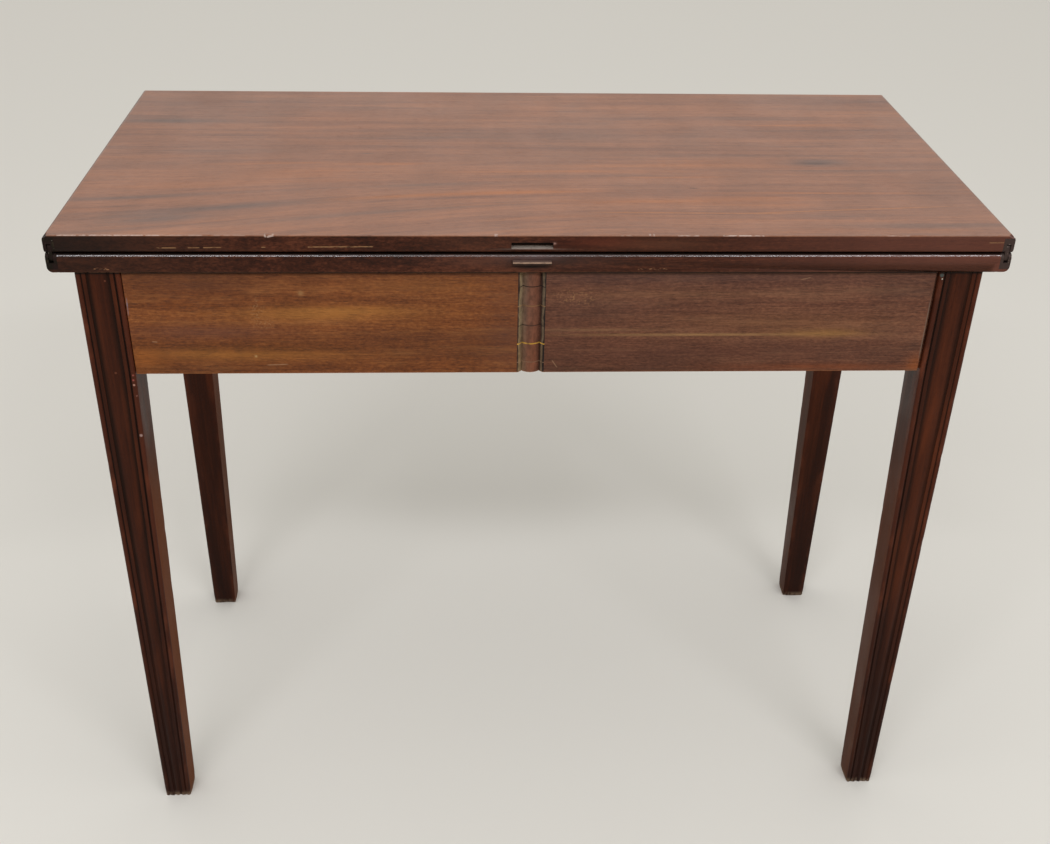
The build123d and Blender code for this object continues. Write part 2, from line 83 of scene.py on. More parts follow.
# Node helper: a reading or socket gets linked, any other value is typed in
class Sketch:
    def __init__(self, tree):
        self.tree = tree

    def add(self, kind, inputs=None, **settings):
        made = self.tree.nodes.new(kind)
        for key, value in settings.items():
            setattr(made, key, value)
        for key, value in (inputs or {}).items():
            self.put(made.inputs[key], value)
        return made

    def put(self, socket, value):
        if isinstance(value, Reading):
            value = value.socket
        if isinstance(value, bpy.types.NodeSocket):
            self.tree.links.new(value, socket)
        else:
            socket.default_value = value

    def get(self, kind, inputs=None, out=0, **settings):
        return Reading(self, self.add(kind, inputs, **settings).outputs[out])

    def given(self):
        # The named inputs of a geometry node tree
        return {socket.name: Reading(self, socket) for socket in self.add("NodeGroupInput").outputs}

    def calc(self, operation, a, b=None, clamp=False):
        inputs = {0: a} if b is None else {0: a, 1: b}
        if isVector(a) and (b is None or isVector(b)):
            return self.get("ShaderNodeVectorMath", inputs, operation=operation)
        return self.get("ShaderNodeMath", inputs, operation=operation, use_clamp=clamp)

    def split(self, vector):
        made = self.add("ShaderNodeSeparateXYZ", {0: vector})
        return [Reading(self, socket) for socket in made.outputs]

    def join(self, x, y=None, z=None):
        # With one value, the same three times
        return self.get("ShaderNodeCombineXYZ", {0: x, 1: x if y is None else y, 2: x if z is None else z})

    def span(self, value, low, high, toLow=0, toHigh=1, smooth=True):
        inputs = dict(enumerate((value, low, high, toLow, toHigh)))
        kind = "SMOOTHSTEP" if smooth else "LINEAR"
        return self.get("ShaderNodeMapRange", inputs, interpolation_type=kind)

    def within(self, *limits):
        # The product of several spans
        share = self.span(*limits[0])
        for limit in limits[1:]:
            share = share * self.span(*limit)
        return share

    def mix(self, factor, a, b, blend="MIX"):
        return self.get("ShaderNodeMix", {0: factor, 6: a, 7: b}, 2, data_type="RGBA", blend_type=blend)

    def tint(self, colour, levels, share, blend="MIX"):
        return self.mix(share, colour, paint(*levels), blend)

    def ramp(self, factor, stops, steps=False):
        made = self.add("ShaderNodeValToRGB", {0: factor})
        band = made.color_ramp
        band.interpolation = "CONSTANT" if steps else "LINEAR"
        while len(band.elements) < len(stops):
            band.elements.new(1)
        for element, (place, colour) in zip(band.elements, stops):
            element.position = place
            element.color = colour
        return Reading(self, made.outputs[0])

    def close(self, shape, finish):
        whole = self.get("GeometryNodeRealizeInstances", {"Geometry": shape})
        coloured = self.get("GeometryNodeSetMaterial", {"Geometry": whole, "Material": finish})
        self.add("NodeGroupOutput", {"Geometry": coloured})

    def noise(self, place, detail=2, rough=0.5, out=0):
        return self.get("ShaderNodeTexNoise", {"Vector": place, "Scale": 1, "Detail": detail,
                                               "Roughness": rough}, out)


def paint(red, green, blue):
    # A colour as a picture editor shows it, turned into scene light
    values = [level / 255 for level in (red, green, blue)]
    return [v / 12.92 if v <= 0.04045 else ((v + 0.055) / 1.055) ** 2.4 for v in values] + [1]


def grey(level):
    return level, level, level, 1


def linked(name, data):
    # A new object with this data, in the scene
    made = bpy.data.objects.new(name, data)
    parts.objects.link(made)
    return made


# Wood: grain, pores and streaks from the table's own coordinates
def woodGrain(g, along, wander=0.012, knots=(), bend=None):
    coords = g.get("ShaderNodeTexCoord", out="Object")
    turns = {"X": (0, 0, 0), "Y": (0, 0, -math.pi / 2), "Z": (0, math.pi / 2, 0)}
    place = g.get("ShaderNodeMapping", {"Vector": coords, "Rotation": turns[along]})
    drift = g.noise(place * (1.6, 7, 7), out="Color")
    flow = place + (drift - (0.5, 0.5, 0.5)) * (0, wander, wander)
    for knot in knots:
        flow = roundKnot(g, place, flow, knot)
    if bend:
        x, y = g.split(place)[:2]
        lift = g.within((x, *bend["over"]), (y, *bend["across"], 1, 0))
        flow = flow + g.join(0, lift * -bend["rise"], 0)

    def streaks(x, across, detail, rough=0.55):
        return g.noise(flow * (x, across, across), detail, rough)

    return {"coords": coords, "place": place, "flow": flow, "broad": streaks(1.3, 24, 3),
            "band": streaks(2.6, 75, 3), "fine": streaks(11, 330, 3, 0.62),
            "hair": streaks(26, 1300, 2), "fleck": streaks(230, 520, 2, 0.6),
            "pores": streaks(85, 2300, 1), "mottle": g.noise(place * (30, 13, 13))}


def softSpot(g, across, up, place, reach):
    # A soft oval mask round a place
    a = (across - place[0]) / reach[0]
    b = (up - place[1]) / reach[1]
    return g.calc("EXPONENT", (a * a + b * b) * -1)


def spotted(g, colour, across, up, rows, mask=None):
    # Soft patches on a face, each (place, reach, colour, strength)
    for place, reach, tint, strength in rows:
        spot = softSpot(g, across, up, place, reach)
        if mask is not None:
            spot = spot * mask
        colour = g.tint(colour, tint, spot * strength)
    return colour


def roundKnot(g, place, flow, knot):
    # The grain bows round a knot, on both sides of it
    x, y = g.split(place)[:2]
    pull = softSpot(g, x, y, (knot["x"], knot["y"]), (knot["length"], knot["width"]))
    sideShare = (y - knot["y"]) / knot["width"]
    return flow + g.join(0, pull * sideShare * -knot["push"], 0)


def knotShade(g, place, knot):
    # Dark heart of a knot, with a soft tail along the grain
    x, y = g.split(place)[:2]
    heart = (knot["heart"], knot["heart"] * 0.22)
    return softSpot(g, x, y, (knot["x"], knot["y"]), heart) * knot["dark"]


def grainTone(g, grain, broad, band, fine, hair, fleck=0):
    # One value from dark to light, from the layers of the grain
    tone = 0.5
    layers = {"broad": broad, "band": band, "fine": fine, "hair": hair, "fleck": fleck}
    for name, weight in layers.items():
        tone = tone + (grain[name] - 0.5) * weight
    return g.calc("ADD", tone, 0, clamp=True)


def threeTones(dark, middle, light):
    return [(0.12, paint(*dark)), (0.5, paint(*middle)), (0.88, paint(*light))]


def shadowUnderLeaf(g, colour, z, strength):
    # painted shadow: the top of a rail or leg darkens just under the leaf's overhang
    upper = g.span(z, leafUnder - 4.4 * mm, leafUnder - 2.8 * mm)
    return g.tint(colour, (16, 9, 7), upper * strength)


def newWood(name):
    material = bpy.data.materials.new(name)
    material.use_nodes = True
    g = Sketch(material.node_tree)
    shader = material.node_tree.nodes["Principled BSDF"]
    return material, g, shader


def finishWood(g, shader, colour, roughness, heights, bumpDepth, gloss=0.5):
    bump = g.get("ShaderNodeBump", {"Strength": 1, "Distance": bumpDepth, "Height": heights})
    for label, value in (("Base Color", colour), ("Roughness", roughness), ("Normal", bump),
                         ("Specular IOR Level", gloss)):
        g.put(shader.inputs[label], value)


# Limits of the top, read from the frame
flapLow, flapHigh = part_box("flap_leaf")
leafLow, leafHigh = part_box("fixed_leaf")
halfLength = flapHigh.x
rearEdge = flapLow.y
topFace = flapHigh.z
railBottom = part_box("front_rail")[0].z
leafFace = leafHigh.z
leafUnder = leafLow.z


def alongMask(g, x, spans):
    # A mask that is on in some stretches of the top's length, each (start, end, strength) in mm
    share = g.span(x, -halfLength, halfLength, smooth=False)
    stops = [(0, grey(0))]
    for start, end, strength in sorted(spans):
        for place, level in ((start, strength), (end, 0)):
            stops.append(((place * mm + halfLength) / (2 * halfLength), grey(level)))
    return g.ramp(share, stops, steps=True)


def nearLine(g, first, second, firstAt, secondAt, reach):
    # A mask close to a line along the table, where two coordinates are near given values
    a, b = first - firstAt, second - secondAt
    return g.span(g.calc("SQRT", a * a + b * b), reach, reach * 0.35)


slotBox = [Vector(corner) for corner in frame["record"]["physics"]["openings"][0]["box_m"]]

topLook = {
    "faded": ((111, 78, 66), (139, 96, 75), (164, 111, 82)),
    "inner": ((66, 32, 20), (100, 52, 34), (134, 76, 50)),
    "edge": ((28, 13, 8), (58, 29, 19), (90, 50, 34)),
    "underside": ((46, 30, 20), (72, 48, 33), (92, 64, 45)),
    "smokeColour": (92, 80, 76),
    "warmColour": (174, 106, 60),
    "dust": (164, 150, 138),
    # near-black painted shade, for the seam between the leaves and the inside of the mortise
    "grimeAndShade": (10, 6, 4),
    # patches of the rear edges: place, reach, colour and strength
    "edgePatches": [((-0.006, 0.709), (0.09, 0.008), (62, 46, 42), 0.55),
                    ((-0.004, 0.712), (0.024, 0.0025), (96, 82, 82), 0.38),
                    # painted shadow under the tongue
                    ((-0.005, 0.703), (0.0205, 0.0016), (14, 9, 7), 0.95),
                    ((0.016, 0.7268), (0.0016, 0.001), (160, 128, 120), 0.8),
                    ((-0.0232, 0.725), (0.0008, 0.0016), (120, 100, 94), 0.6),
                    ((-0.0046, 0.7211), (0.026, 0.0005), (134, 116, 108), 0.7),
                    ((0.06, 0.728), (0.04, 0.006), (88, 40, 28), 0.5),
                    ((0.115, 0.726), (0.05, 0.006), (96, 60, 44), 0.4),
                    ((-0.06, 0.728), (0.045, 0.008), (56, 38, 30), 0.4)],
    "bend": {"over": (-0.52, 0.1), "across": (-0.2, 0.04), "rise": 0.11},
    "knots": [
        {"x": 0.309, "y": -0.025, "length": 0.07, "width": 0.018, "push": 0.01,
         "heart": 0.016, "dark": 0.45},
        {"x": 0.166, "y": -0.099, "length": 0.02, "width": 0.006, "push": 0.003,
         "heart": 0.005, "dark": 0.8},
    ],
    # streaks of the show face: place, half length, half width and strength
    "smoke": [(-0.28, -0.148, 0.13, 0.009, 0.75), (-0.09, -0.09, 0.1, 0.008, 0.5),
              (-0.355, -0.18, 0.05, 0.013, 0.7), (-0.39, -0.127, 0.09, 0.005, 0.65),
              (-0.13, -0.16, 0.13, 0.008, 0.4), (-0.403, 0.111, 0.08, 0.009, 0.75),
              (-0.32, 0.183, 0.009, 0.0016, 0.9), (-0.172, 0.002, 0.006, 0.0014, 0.8),
              (0.05, 0.06, 0.16, 0.017, 0.3), (0.312, -0.022, 0.032, 0.013, 0.8),
              (0.37, -0.196, 0.09, 0.007, 0.6), (0.425, -0.1, 0.03, 0.05, 0.3)],
    "warm": [(-0.15, -0.125, 0.09, 0.006, 0.9), (-0.02, -0.112, 0.07, 0.008, 0.75),
             (0.11, -0.135, 0.09, 0.01, 0.5), (0.3, -0.112, 0.09, 0.004, 0.6),
             (0.04, -0.05, 0.1, 0.007, 0.5), (0.15, -0.066, 0.07, 0.006, 0.45),
             (-0.27, -0.03, 0.06, 0.005, 0.45), (-0.15, -0.03, 0.05, 0.005, 0.45),
             (0.32, 0.105, 0.06, 0.004, 0.35), (-0.228, -0.058, 0.07, 0.02, 0.28),
             (0.182, -0.025, 0.07, 0.022, 0.24), (0.22, -0.128, 0.06, 0.011, 0.4)],
    # long marks on the show face: start, end, half width in mm, colour and strength
    "marks": [((0.04, -0.164), (0.27, -0.1675), 0.8, (178, 112, 62), 0.45),
              ((0.19, -0.168), (0.432, -0.146), 0.8, (178, 112, 62), 0.45)],
    "scratchesAndHighlights": [(-355, -336, 0.8), (-328, -316, 0.6), (-311, -294, 0.8), (-259, -256, 0.9),
                  (-217, -154, 0.9), (430, 443, 0.6)],
    "wornArris": [(-446, -352, 0.8), (-352, -312, 0.4), (-300, -270, 0.25), (76, 90, 0.3),
                  (131, 150, 0.55), (172, 214, 0.9), (330, 352, 0.35)],
    # broken edges of the chips: start, end (along and below the arris, mm), half width, strength
    "chipMarks": [((-254, 0), (-251.9, 2.1), 0.5, 0.7), ((-251.9, 2.1), (-244.3, 0.2), 0.5, 0.7),
                  ((-40.7, 0.3), (-36.9, 0.3), 0.5, 0.55), ((104.9, 0.2), (107.2, 0.2), 0.4, 0.6),
                  ((109, 0.2), (110.4, 0.2), 0.4, 0.6)],
    "scuffs": [(-417, -402, 1), (96, 124, 0.8), (210, 217, 0.5)],
}


def bentPlace(x, y, bend):
    # Where a place on the board lies in the bent grain
    def smooth(value, low, high):
        t = min(max((value - low) / (high - low), 0), 1)
        return t * t * (3 - 2 * t)

    return x, y - bend["rise"] * smooth(x, *bend["over"]) * (1 - smooth(y, *bend["across"]))


def topWood(name, gloss, coat, rubbed=0):
    look = topLook
    material, g, shader = newWood(name)
    grain = woodGrain(g, "X", 0.014, look["knots"], look["bend"])
    x, y, z = g.split(grain["coords"])
    flowX, flowY = g.split(grain["flow"])[:2]
    tone = grainTone(g, grain, 0.72, 0.56, 0.62, 0.5, 0.3)
    edgeTone = grainTone(g, grain, 1.1, 0.9, 0.8, 0.5, 0.7)
    outer = g.span(z, topFace - 1.6 * mm, topFace - 0.3 * mm)
    inner = g.within((abs(z - (leafFace + 0.2 * mm)), 0.9 * mm, 0.4 * mm),
                     (y, rearEdge + 2 * mm, rearEdge + 6 * mm))
    under = g.span(z, leafUnder + 0.5 * mm, leafUnder + 0.1 * mm)

    # painted shade and light: the edge is nearly black at the left-hand end and redder towards the right, as
    # if lit from the right
    colour = g.ramp(edgeTone, threeTones(*look["edge"]))
    leftEnd = g.within((x, -0.22, -0.44), (z, leafFace, leafFace + mm, 0.6, 0.85))
    colour = g.tint(colour, (26, 18, 15), leftEnd)
    rightEnd = g.within((x, 0.1, 0.4), (z, leafFace, leafFace + mm, 0.7, 0.6))
    colour = g.tint(colour, (101, 62, 52), rightEnd)
    colour = spotted(g, colour, x, z, look["edgePatches"])
    colour = g.mix(outer, colour, g.ramp(tone, threeTones(*look["faded"])))
    colour = g.mix(inner, colour, g.ramp(edgeTone, threeTones(*look["inner"])))
    colour = g.mix(under, colour, g.ramp(edgeTone, threeTones(*look["underside"])))
    # painted shade in the seam between the two leaves, on the flap's lower arris and the lower leaf's upper
    # arris
    atRear = g.span(y, rearEdge + 9 * mm, rearEdge + 6 * mm)
    seamShade = g.within((z, leafFace + 2.6 * mm, leafFace + 1.4 * mm),
                     (z, leafFace - 1.7 * mm, leafFace - 1.1 * mm))
    colour = g.tint(colour, look["grimeAndShade"], seamShade * atRear * 0.92)

    # smoky and warm streaks and the knots of the show face
    broken = g.span(grain["fine"], 0.32, 0.62, 0.55, 1)
    for kind in ("warm", "smoke"):
        streaks = [(bentPlace(*row[:2], look["bend"]), row[2:4], look[kind + "Colour"], row[4])
                   for row in look[kind]]
        colour = spotted(g, colour, flowX, flowY, streaks, outer * broken)
    stretched = grain["flow"] * (3, 42, 42)
    streak = g.span(g.noise(stretched + (4, 2, 0), 3, 0.6), 0.52, 0.76)
    colour = g.tint(colour, look["smokeColour"], streak * outer * 0.28)
    warm = g.noise(stretched + (9, 7, 0), 3, 0.6)
    warm = g.within((warm, 0.52, 0.78), (y, 0.1, -0.16, 0.12, 0.3))
    colour = g.tint(colour, look["warmColour"], warm * outer)
    for start, end, halfWidth, tint, strength in look["marks"]:
        mark = thinLine(g, x, y, start, end, halfWidth * mm) * outer
        colour = g.tint(colour, tint, mark * strength)
    for knot in look["knots"]:
        shade = knotShade(g, grain["place"], knot) * outer
        colour = g.tint(colour, (46, 36, 34), shade)

    pores = g.span(grain["pores"], 0.58, 0.72)
    colour = g.tint(colour, (88, 60, 48), pores * 0.3, "MULTIPLY")
    # dimmer at the left
    mottle = g.within((grain["mottle"], 0.3, 0.7, 0.95, 1.05), (x, -0.42, -0.1, 0.955, 1))
    colour = colour * g.join(mottle)

    # worn arris, scratches on the rear edge and scuffs on the fixed leaf
    rough = g.noise(grain["coords"] * (260, 900, 900))
    arris = nearLine(g, y, z, rearEdge, topFace, 1.1 * mm)
    worn = arris * (alongMask(g, x, look["wornArris"]) + 0.12)
    chip = 0
    for start, end, halfWidth, strength in look["chipMarks"]:
        ends = [(along * mm, topFace - drop * mm) for along, drop in (start, end)]
        mark = thinLine(g, x, z, *ends, halfWidth * mm) * strength
        chip = g.calc("MAXIMUM", chip, mark)
    chip = chip * nearLine(g, y, z, rearEdge, topFace, 5 * mm)
    worn = g.calc("MAXIMUM", worn * g.span(rough, 0.3, 0.56), chip)
    colour = g.tint(colour, (190, 168, 158), worn)
    line = abs(z - (x * 0.007 + (topFace - 10.3 * mm)))
    rear = (y, rearEdge + mm, rearEdge + 0.4 * mm)
    scratch = g.within((line, 0.75 * mm, 0.25 * mm), rear, (rough, 0.32, 0.54))
    scratch = scratch * alongMask(g, x, look["scratchesAndHighlights"])
    colour = g.tint(colour, (142, 108, 76), scratch * 0.95)
    low = abs(z - (leafUnder + 3.4 * mm))
    scuff = g.within((low, 1.6 * mm, 0.6 * mm), rear, (rough, 0.5, 0.62))
    scuff = scuff * alongMask(g, x, look["scuffs"])
    colour = g.tint(colour, (124, 88, 62), scuff)

    # painted shade inside the mortise, and grey dust on the floor of the mortise
    slotLow, slotHigh = slotBox
    inSlot = (abs(x - (slotLow.x + slotHigh.x) / 2), 20.4 * mm, 20 * mm)
    hollow = g.within(inSlot, (y, rearEdge + 0.3 * mm, rearEdge + mm),
                      (z, slotLow.z + 0.3 * mm, slotLow.z + mm),
                      (z, slotHigh.z + 0.6 * mm, slotHigh.z + 0.3 * mm))
    colour = g.tint(colour, look["grimeAndShade"], hollow * 0.9)
    dust = g.within((abs(z - (slotLow.z - 0.2 * mm)), 0.5 * mm, 0.3 * mm), inSlot,
                    (y, rearEdge + 9 * mm, rearEdge + 8 * mm),
                    (y, rearEdge + 0.1 * mm, rearEdge + 0.6 * mm), (rough, 0.25, 0.5))
    colour = g.tint(colour, look["dust"], dust)

    marks = worn + scratch + scuff
    haze = g.noise(grain["coords"] * (9, 9, 9), 3)
    polish = 0.3 - rubbed
    roughness = g.span(haze, 0.35, 0.65, polish, polish + 0.1 * (1 - 4 * rubbed)) + pores * 0.12
    roughness = g.mix(under, g.join(roughness + marks * 0.2), grey(0.75))
    swell = g.noise(grain["place"] * (3, 8, 8))
    height = swell * 3 + grain["fine"] * 0.18 - pores * 0.3 - marks * 0.8
    finishWood(g, shader, colour, roughness, height, 0.0002 * (1 - 4 * rubbed), gloss)
    shader.inputs["Coat Weight"].default_value = coat
    shader.inputs["Coat Roughness"].default_value = 0.16
    return material


def tongueWood():
    # Paler, rubbed wood for the tongue, with a painted highlight along its upper arris and painted shade
    # below it
    material, g, shader = newWood("rubbed wood of the tongue, with painted highlight and shade")
    grain = woodGrain(g, "X", 0.004)
    y, z = g.split(grain["coords"])[1:]
    low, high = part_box("leaf_tongue")
    tone = grainTone(g, grain, 1.2, 1, 0.8, 0.5)
    colour = g.ramp(tone, threeTones((60, 44, 38), (92, 72, 64), (124, 100, 88)))
    # painted highlight along the tongue's upper arris
    rimHighlight = nearLine(g, y, z, low.y, high.z, 1.1 * mm)
    rimHighlight = rimHighlight * g.span(grain["fleck"], 0.3, 0.6, 0.35, 0.9)
    colour = g.tint(colour, (174, 144, 120), rimHighlight)
    wavy = g.noise(grain["coords"] * (190, 20, 20), 3)
    height = z + g.span(wavy, 0.35, 0.65, -0.6 * mm, 0.45 * mm)
    # painted shadow under the tongue's rim, and painted shade on its underside
    shadowBelow = g.span(height, high.z - 1.3 * mm, high.z - 2 * mm)
    colour = g.tint(colour, (20, 12, 10), shadowBelow * 0.85)
    under = g.span(height, high.z - mm, high.z - 1.8 * mm)
    colour = g.tint(colour, (44, 26, 20), under * 0.7)
    roughness = g.span(grain["broad"], 0.3, 0.7, 0.35, 0.5)
    finishWood(g, shader, colour, roughness, grain["fine"], 0.0001, 0.4)
    return material


railLook = {
    "left": {
        "tones": ((74, 36, 15), (110, 61, 29), (142, 88, 46)), "pale": (140, 92, 52), "grey": 0.1,
        # broad patches: place, reach, colour and strength
        "patches": [((-0.2, 0.652), (0.075, 0.008), (152, 102, 48), 0.75),
                    ((-0.285, 0.608), (0.1, 0.007), (150, 98, 46), 0.7),
                    ((-0.378, 0.6), (0.018, 0.014), (150, 88, 38), 0.6),
                    ((-0.32, 0.632), (0.075, 0.008), (90, 54, 44), 0.65),
                    ((-0.09, 0.618), (0.11, 0.015), (72, 40, 26), 0.7),
                    # painted shade along the top of the rail, under the leaf's overhang
                    ((-0.2, 0.7), (0.4, 0.011), (66, 36, 24), 0.65),
                    ((-0.1, 0.68), (0.08, 0.006), (132, 84, 44), 0.5),
                    ((-0.335, 0.682), (0.075, 0.016), (76, 42, 26), 0.8),
                    ((-0.028, 0.64), (0.022, 0.06), (88, 54, 42), 0.55)],
        # crumbs of pale dirt: place and reach
        "crumbs": [((-0.268, 0.655), (0.006, 0.012)), ((-0.262, 0.64), (0.01, 0.006))],
        "dots": [((-0.225, 0.673), 2.6, 0.35), ((-0.273, 0.605), 1.2, 0.9)],
        # scratches and painted highlights: start, end, strength and colour
        "scratchesAndHighlights": [((-0.265, 0.5952), (-0.241, 0.596), 0.5, (160, 128, 100)),
                      ((-0.372, 0.6215), (-0.366, 0.621), 0.5, (160, 128, 100)),
                      # the last two are painted highlights, pale lilac, at the rail's left end by the leg
                      ((-0.3897, 0.67), (-0.3903, 0.648), 0.4, (120, 112, 124)),
                      ((-0.3899, 0.664), (-0.3901, 0.659), 0.5, (120, 112, 124))],
    },
    "right": {
        # the right rail is greyer than the left, partly its own colour and partly a painted haze of
        # reflected light
        "tones": ((60, 33, 23), (92, 56, 42), (120, 80, 60)), "pale": (124, 88, 66), "grey": 0.25,
        "patches": [((0.17, 0.6275), (0.11, 0.0014), (158, 124, 82), 0.6),
                    ((0.285, 0.629), (0.04, 0.0045), (150, 110, 60), 0.6),
                    ((0.05, 0.633), (0.06, 0.0016), (140, 106, 76), 0.45),
                    ((0.24, 0.642), (0.12, 0.01), (122, 84, 54), 0.45),
                    ((0.13, 0.672), (0.11, 0.006), (124, 88, 62), 0.3),
                    ((0.2, 0.692), (0.26, 0.012), (64, 46, 44), 0.55),
                    ((0.365, 0.678), (0.04, 0.014), (60, 42, 36), 0.55),
                    ((0.05, 0.655), (0.06, 0.012), (72, 54, 48), 0.35),
                    ((0.2, 0.608), (0.2, 0.008), (74, 42, 34), 0.4),
                    ((0.29, 0.591), (0.1, 0.004), (128, 66, 34), 0.5),
                    ((0.386, 0.594), (0.009, 0.009), (140, 76, 32), 0.65),
                    ((0.381, 0.615), (0.007, 0.005), (40, 26, 24), 0.75)],
        "crumbs": [((0.04, 0.668), (0.022, 0.008))],
        "dots": [],
        "scratchesAndHighlights": [((0.0175, 0.6), (0.0235, 0.5905), 0.4, (160, 128, 100)),
                      ((0.256, 0.6865), (0.267, 0.6895), 0.3, (160, 128, 100)),
                      ((0.3883, 0.672), (0.3883, 0.594), 0.6, (104, 92, 82))],
    },
    "far": {
        "tones": ((70, 35, 18), (104, 58, 34), (136, 84, 50)), "pale": (140, 94, 62), "grey": 0.2,
        "patches": [], "crumbs": [], "dots": [], "scratchesAndHighlights": [],
    },
}

# the wooden knuckle in the middle of the rear rail, heights of its joints from the bottom up
pinLow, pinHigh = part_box("knuckle_pin")
knuckleLook = {
    "at": (pinLow.x + pinHigh.x) / 2,
    "halfWidth": 13.5 * mm,
    # colours from left to right, with their distance from the middle in mm: painted light on the left bevel
    # and a thin lit strip at the right, painted shade on the right bevel and in the gaps at both edges
    "across": [(-13.3, (34, 22, 16)), (-12.4, (60, 42, 34)), (-11.6, (128, 112, 86)),
               (-10.2, (118, 102, 80)), (-8.4, (104, 84, 68)), (-6, (100, 76, 62)),
               (-3, (100, 66, 52)), (4, (102, 62, 46)), (7.4, (84, 52, 40)),
               (9.8, (46, 32, 27)), (11, (104, 90, 74)), (12, (88, 74, 60)),
               (12.7, (18, 12, 10)), (13.5, (18, 12, 10))],
    "bottomFinger": 11.5 * mm,
    "topFinger": 18 * mm,
    # joints of the fingers from the bottom up: colour, half width in mm, strength and drop in mm
    "lines": [((150, 120, 96), 0.2, 0.5, 0), ((200, 156, 62), 0.42, 0.9, 0),
              ((26, 16, 12), 0.25, 0.8, 0.8), ((150, 114, 76), 0.25, 0.65, 0),
              ((22, 13, 11), 0.28, 0.9, 0)],
}


def knuckleShade(g, colour, grain, x, z):
    look = knuckleLook
    away = x - look["at"]
    zone = g.span(abs(away), look["halfWidth"] + 0.1 * mm, look["halfWidth"] - 0.1 * mm)
    wavy = g.noise(grain["coords"] * (90, 90, 40), 3, 0.6)
    wavy = g.span(wavy, 0.25, 0.75, -0.7 * mm, 0.7 * mm)
    across = (away + wavy + look["halfWidth"]) / (2 * look["halfWidth"])
    stops = [((place * mm / look["halfWidth"] + 1) / 2, paint(*tint)) for place, tint in look["across"]]
    # painted light on the left bevel and painted shade in the gaps and on the right bevel
    wood = g.ramp(across, stops)
    soft = g.noise(grain["coords"] * (260, 200, 110), 4, 0.65)
    wood = wood * g.join(g.span(soft, 0.3, 0.7, 0.72, 1.24))
    lower = g.span(z, 0.65, 0.6, 0, 0.35)
    wood = g.mix(lower, wood, wood * g.join(1.25, 1, 0.72))
    height = z + g.span(abs(away), 8 * mm, 10.5 * mm, 0, 0.4 * mm)
    first = railBottom + look["bottomFinger"]
    pitch = (leafUnder - look["topFinger"] - first) / (len(look["lines"]) - 1)
    for number, (tint, halfWidth, strength, drop) in enumerate(look["lines"]):
        line = abs(height - (first + number * pitch - drop * mm))
        line = g.span(line, (halfWidth + 0.4) * mm, halfWidth * mm)
        line = line * g.span(soft, 0.3, 0.52, 0.35, 1)
        wood = g.tint(wood, tint, line * strength)
    return g.mix(zone, colour, wood)


def thinLine(g, x, z, start, end, halfWidth):
    # A mask along a short straight line on a face
    spanX, spanZ = end[0] - start[0], end[1] - start[1]
    length = math.hypot(spanX, spanZ)
    fromX, fromZ = x - start[0], z - start[1]
    leanX, leanZ = spanX / length, spanZ / length
    along = fromX * leanX + fromZ * leanZ
    across = fromX * leanZ - fromZ * leanX
    within = g.span(abs(along - length / 2), length / 2, length * 0.3)
    return within * g.span(abs(across), halfWidth * 2, halfWidth)


def railWood(side, along="X"):
    look = railLook[side]
    material, g, shader = newWood("mahogany of the rails, " + side)
    grain = woodGrain(g, along, 0.007)
    x, z = g.split(grain["coords"])[::2]
    tone = grainTone(g, grain, 0.8, 0.6, 0.55, 0.55, 0.85)
    colour = g.ramp(tone, threeTones(*look["tones"]))
    patchy = g.span(grain["band"], 0.35, 0.62, 0.45, 1)
    colour = spotted(g, colour, x, z, look["patches"], patchy)
    pale = g.noise(grain["flow"] * (9, 90, 90) + (3, 5, 1), 4, 0.7)
    colour = g.tint(colour, look["pale"], g.span(pale, 0.5, 0.78) * 0.45)
    # smoky grey streaks, stronger on the right rail, where they are partly a painted haze of reflected light
    smoky = g.noise(grain["flow"] * (8, 30, 30) + (1, 8, 4), 4, 0.65)
    colour = g.tint(colour, (72, 48, 42), g.span(smoky, 0.5, 0.74) * look["grey"])
    pores = g.span(grain["pores"], 0.55, 0.7)
    colour = g.tint(colour, (70, 44, 32), pores * 0.3, "MULTIPLY")
    colour = colour * g.join(g.span(grain["mottle"], 0.3, 0.7, 0.93, 1.07))

    # crumbs of dirt, dots, scratches and painted highlights
    crumbs = g.span(g.noise(grain["coords"] * (420, 420, 480)), 0.5, 0.66)
    rows = [(place, reach, (150, 112, 76), 0.5) for place, reach in look["crumbs"]]
    colour = spotted(g, colour, x, z, rows, crumbs)
    rows = [(place, (radius * mm, radius * mm), (168, 136, 92), strength)
            for place, radius, strength in look["dots"]]
    colour = spotted(g, colour, x, z, rows)
    for start, end, strength, tint in look["scratchesAndHighlights"]:
        line = thinLine(g, x, z, start, end, 0.35 * mm)
        colour = g.tint(colour, tint, line * strength)
    if side != "far":
        colour = knuckleShade(g, colour, grain, x, z)
    lower = g.span(z, railBottom + 1.4 * mm, railBottom + 0.4 * mm)  # rubbed lower arris
    colour = g.tint(colour, (134, 84, 46), lower * 0.45)
    # painted shadow under the leaf's overhang
    colour = shadowUnderLeaf(g, colour, z, 0.85)
    haze = g.noise(grain["coords"] * (11, 11, 11), 3)
    roughness = g.span(haze, 0.35, 0.65, 0.42, 0.56) + pores * 0.12
    swell = g.noise(grain["place"] * (4, 14, 14))
    height = swell * 1.6 + grain["fine"] * 0.5 - pores * 0.6
    finishWood(g, shader, colour, roughness, height, 0.0002, 0.2)
    return material


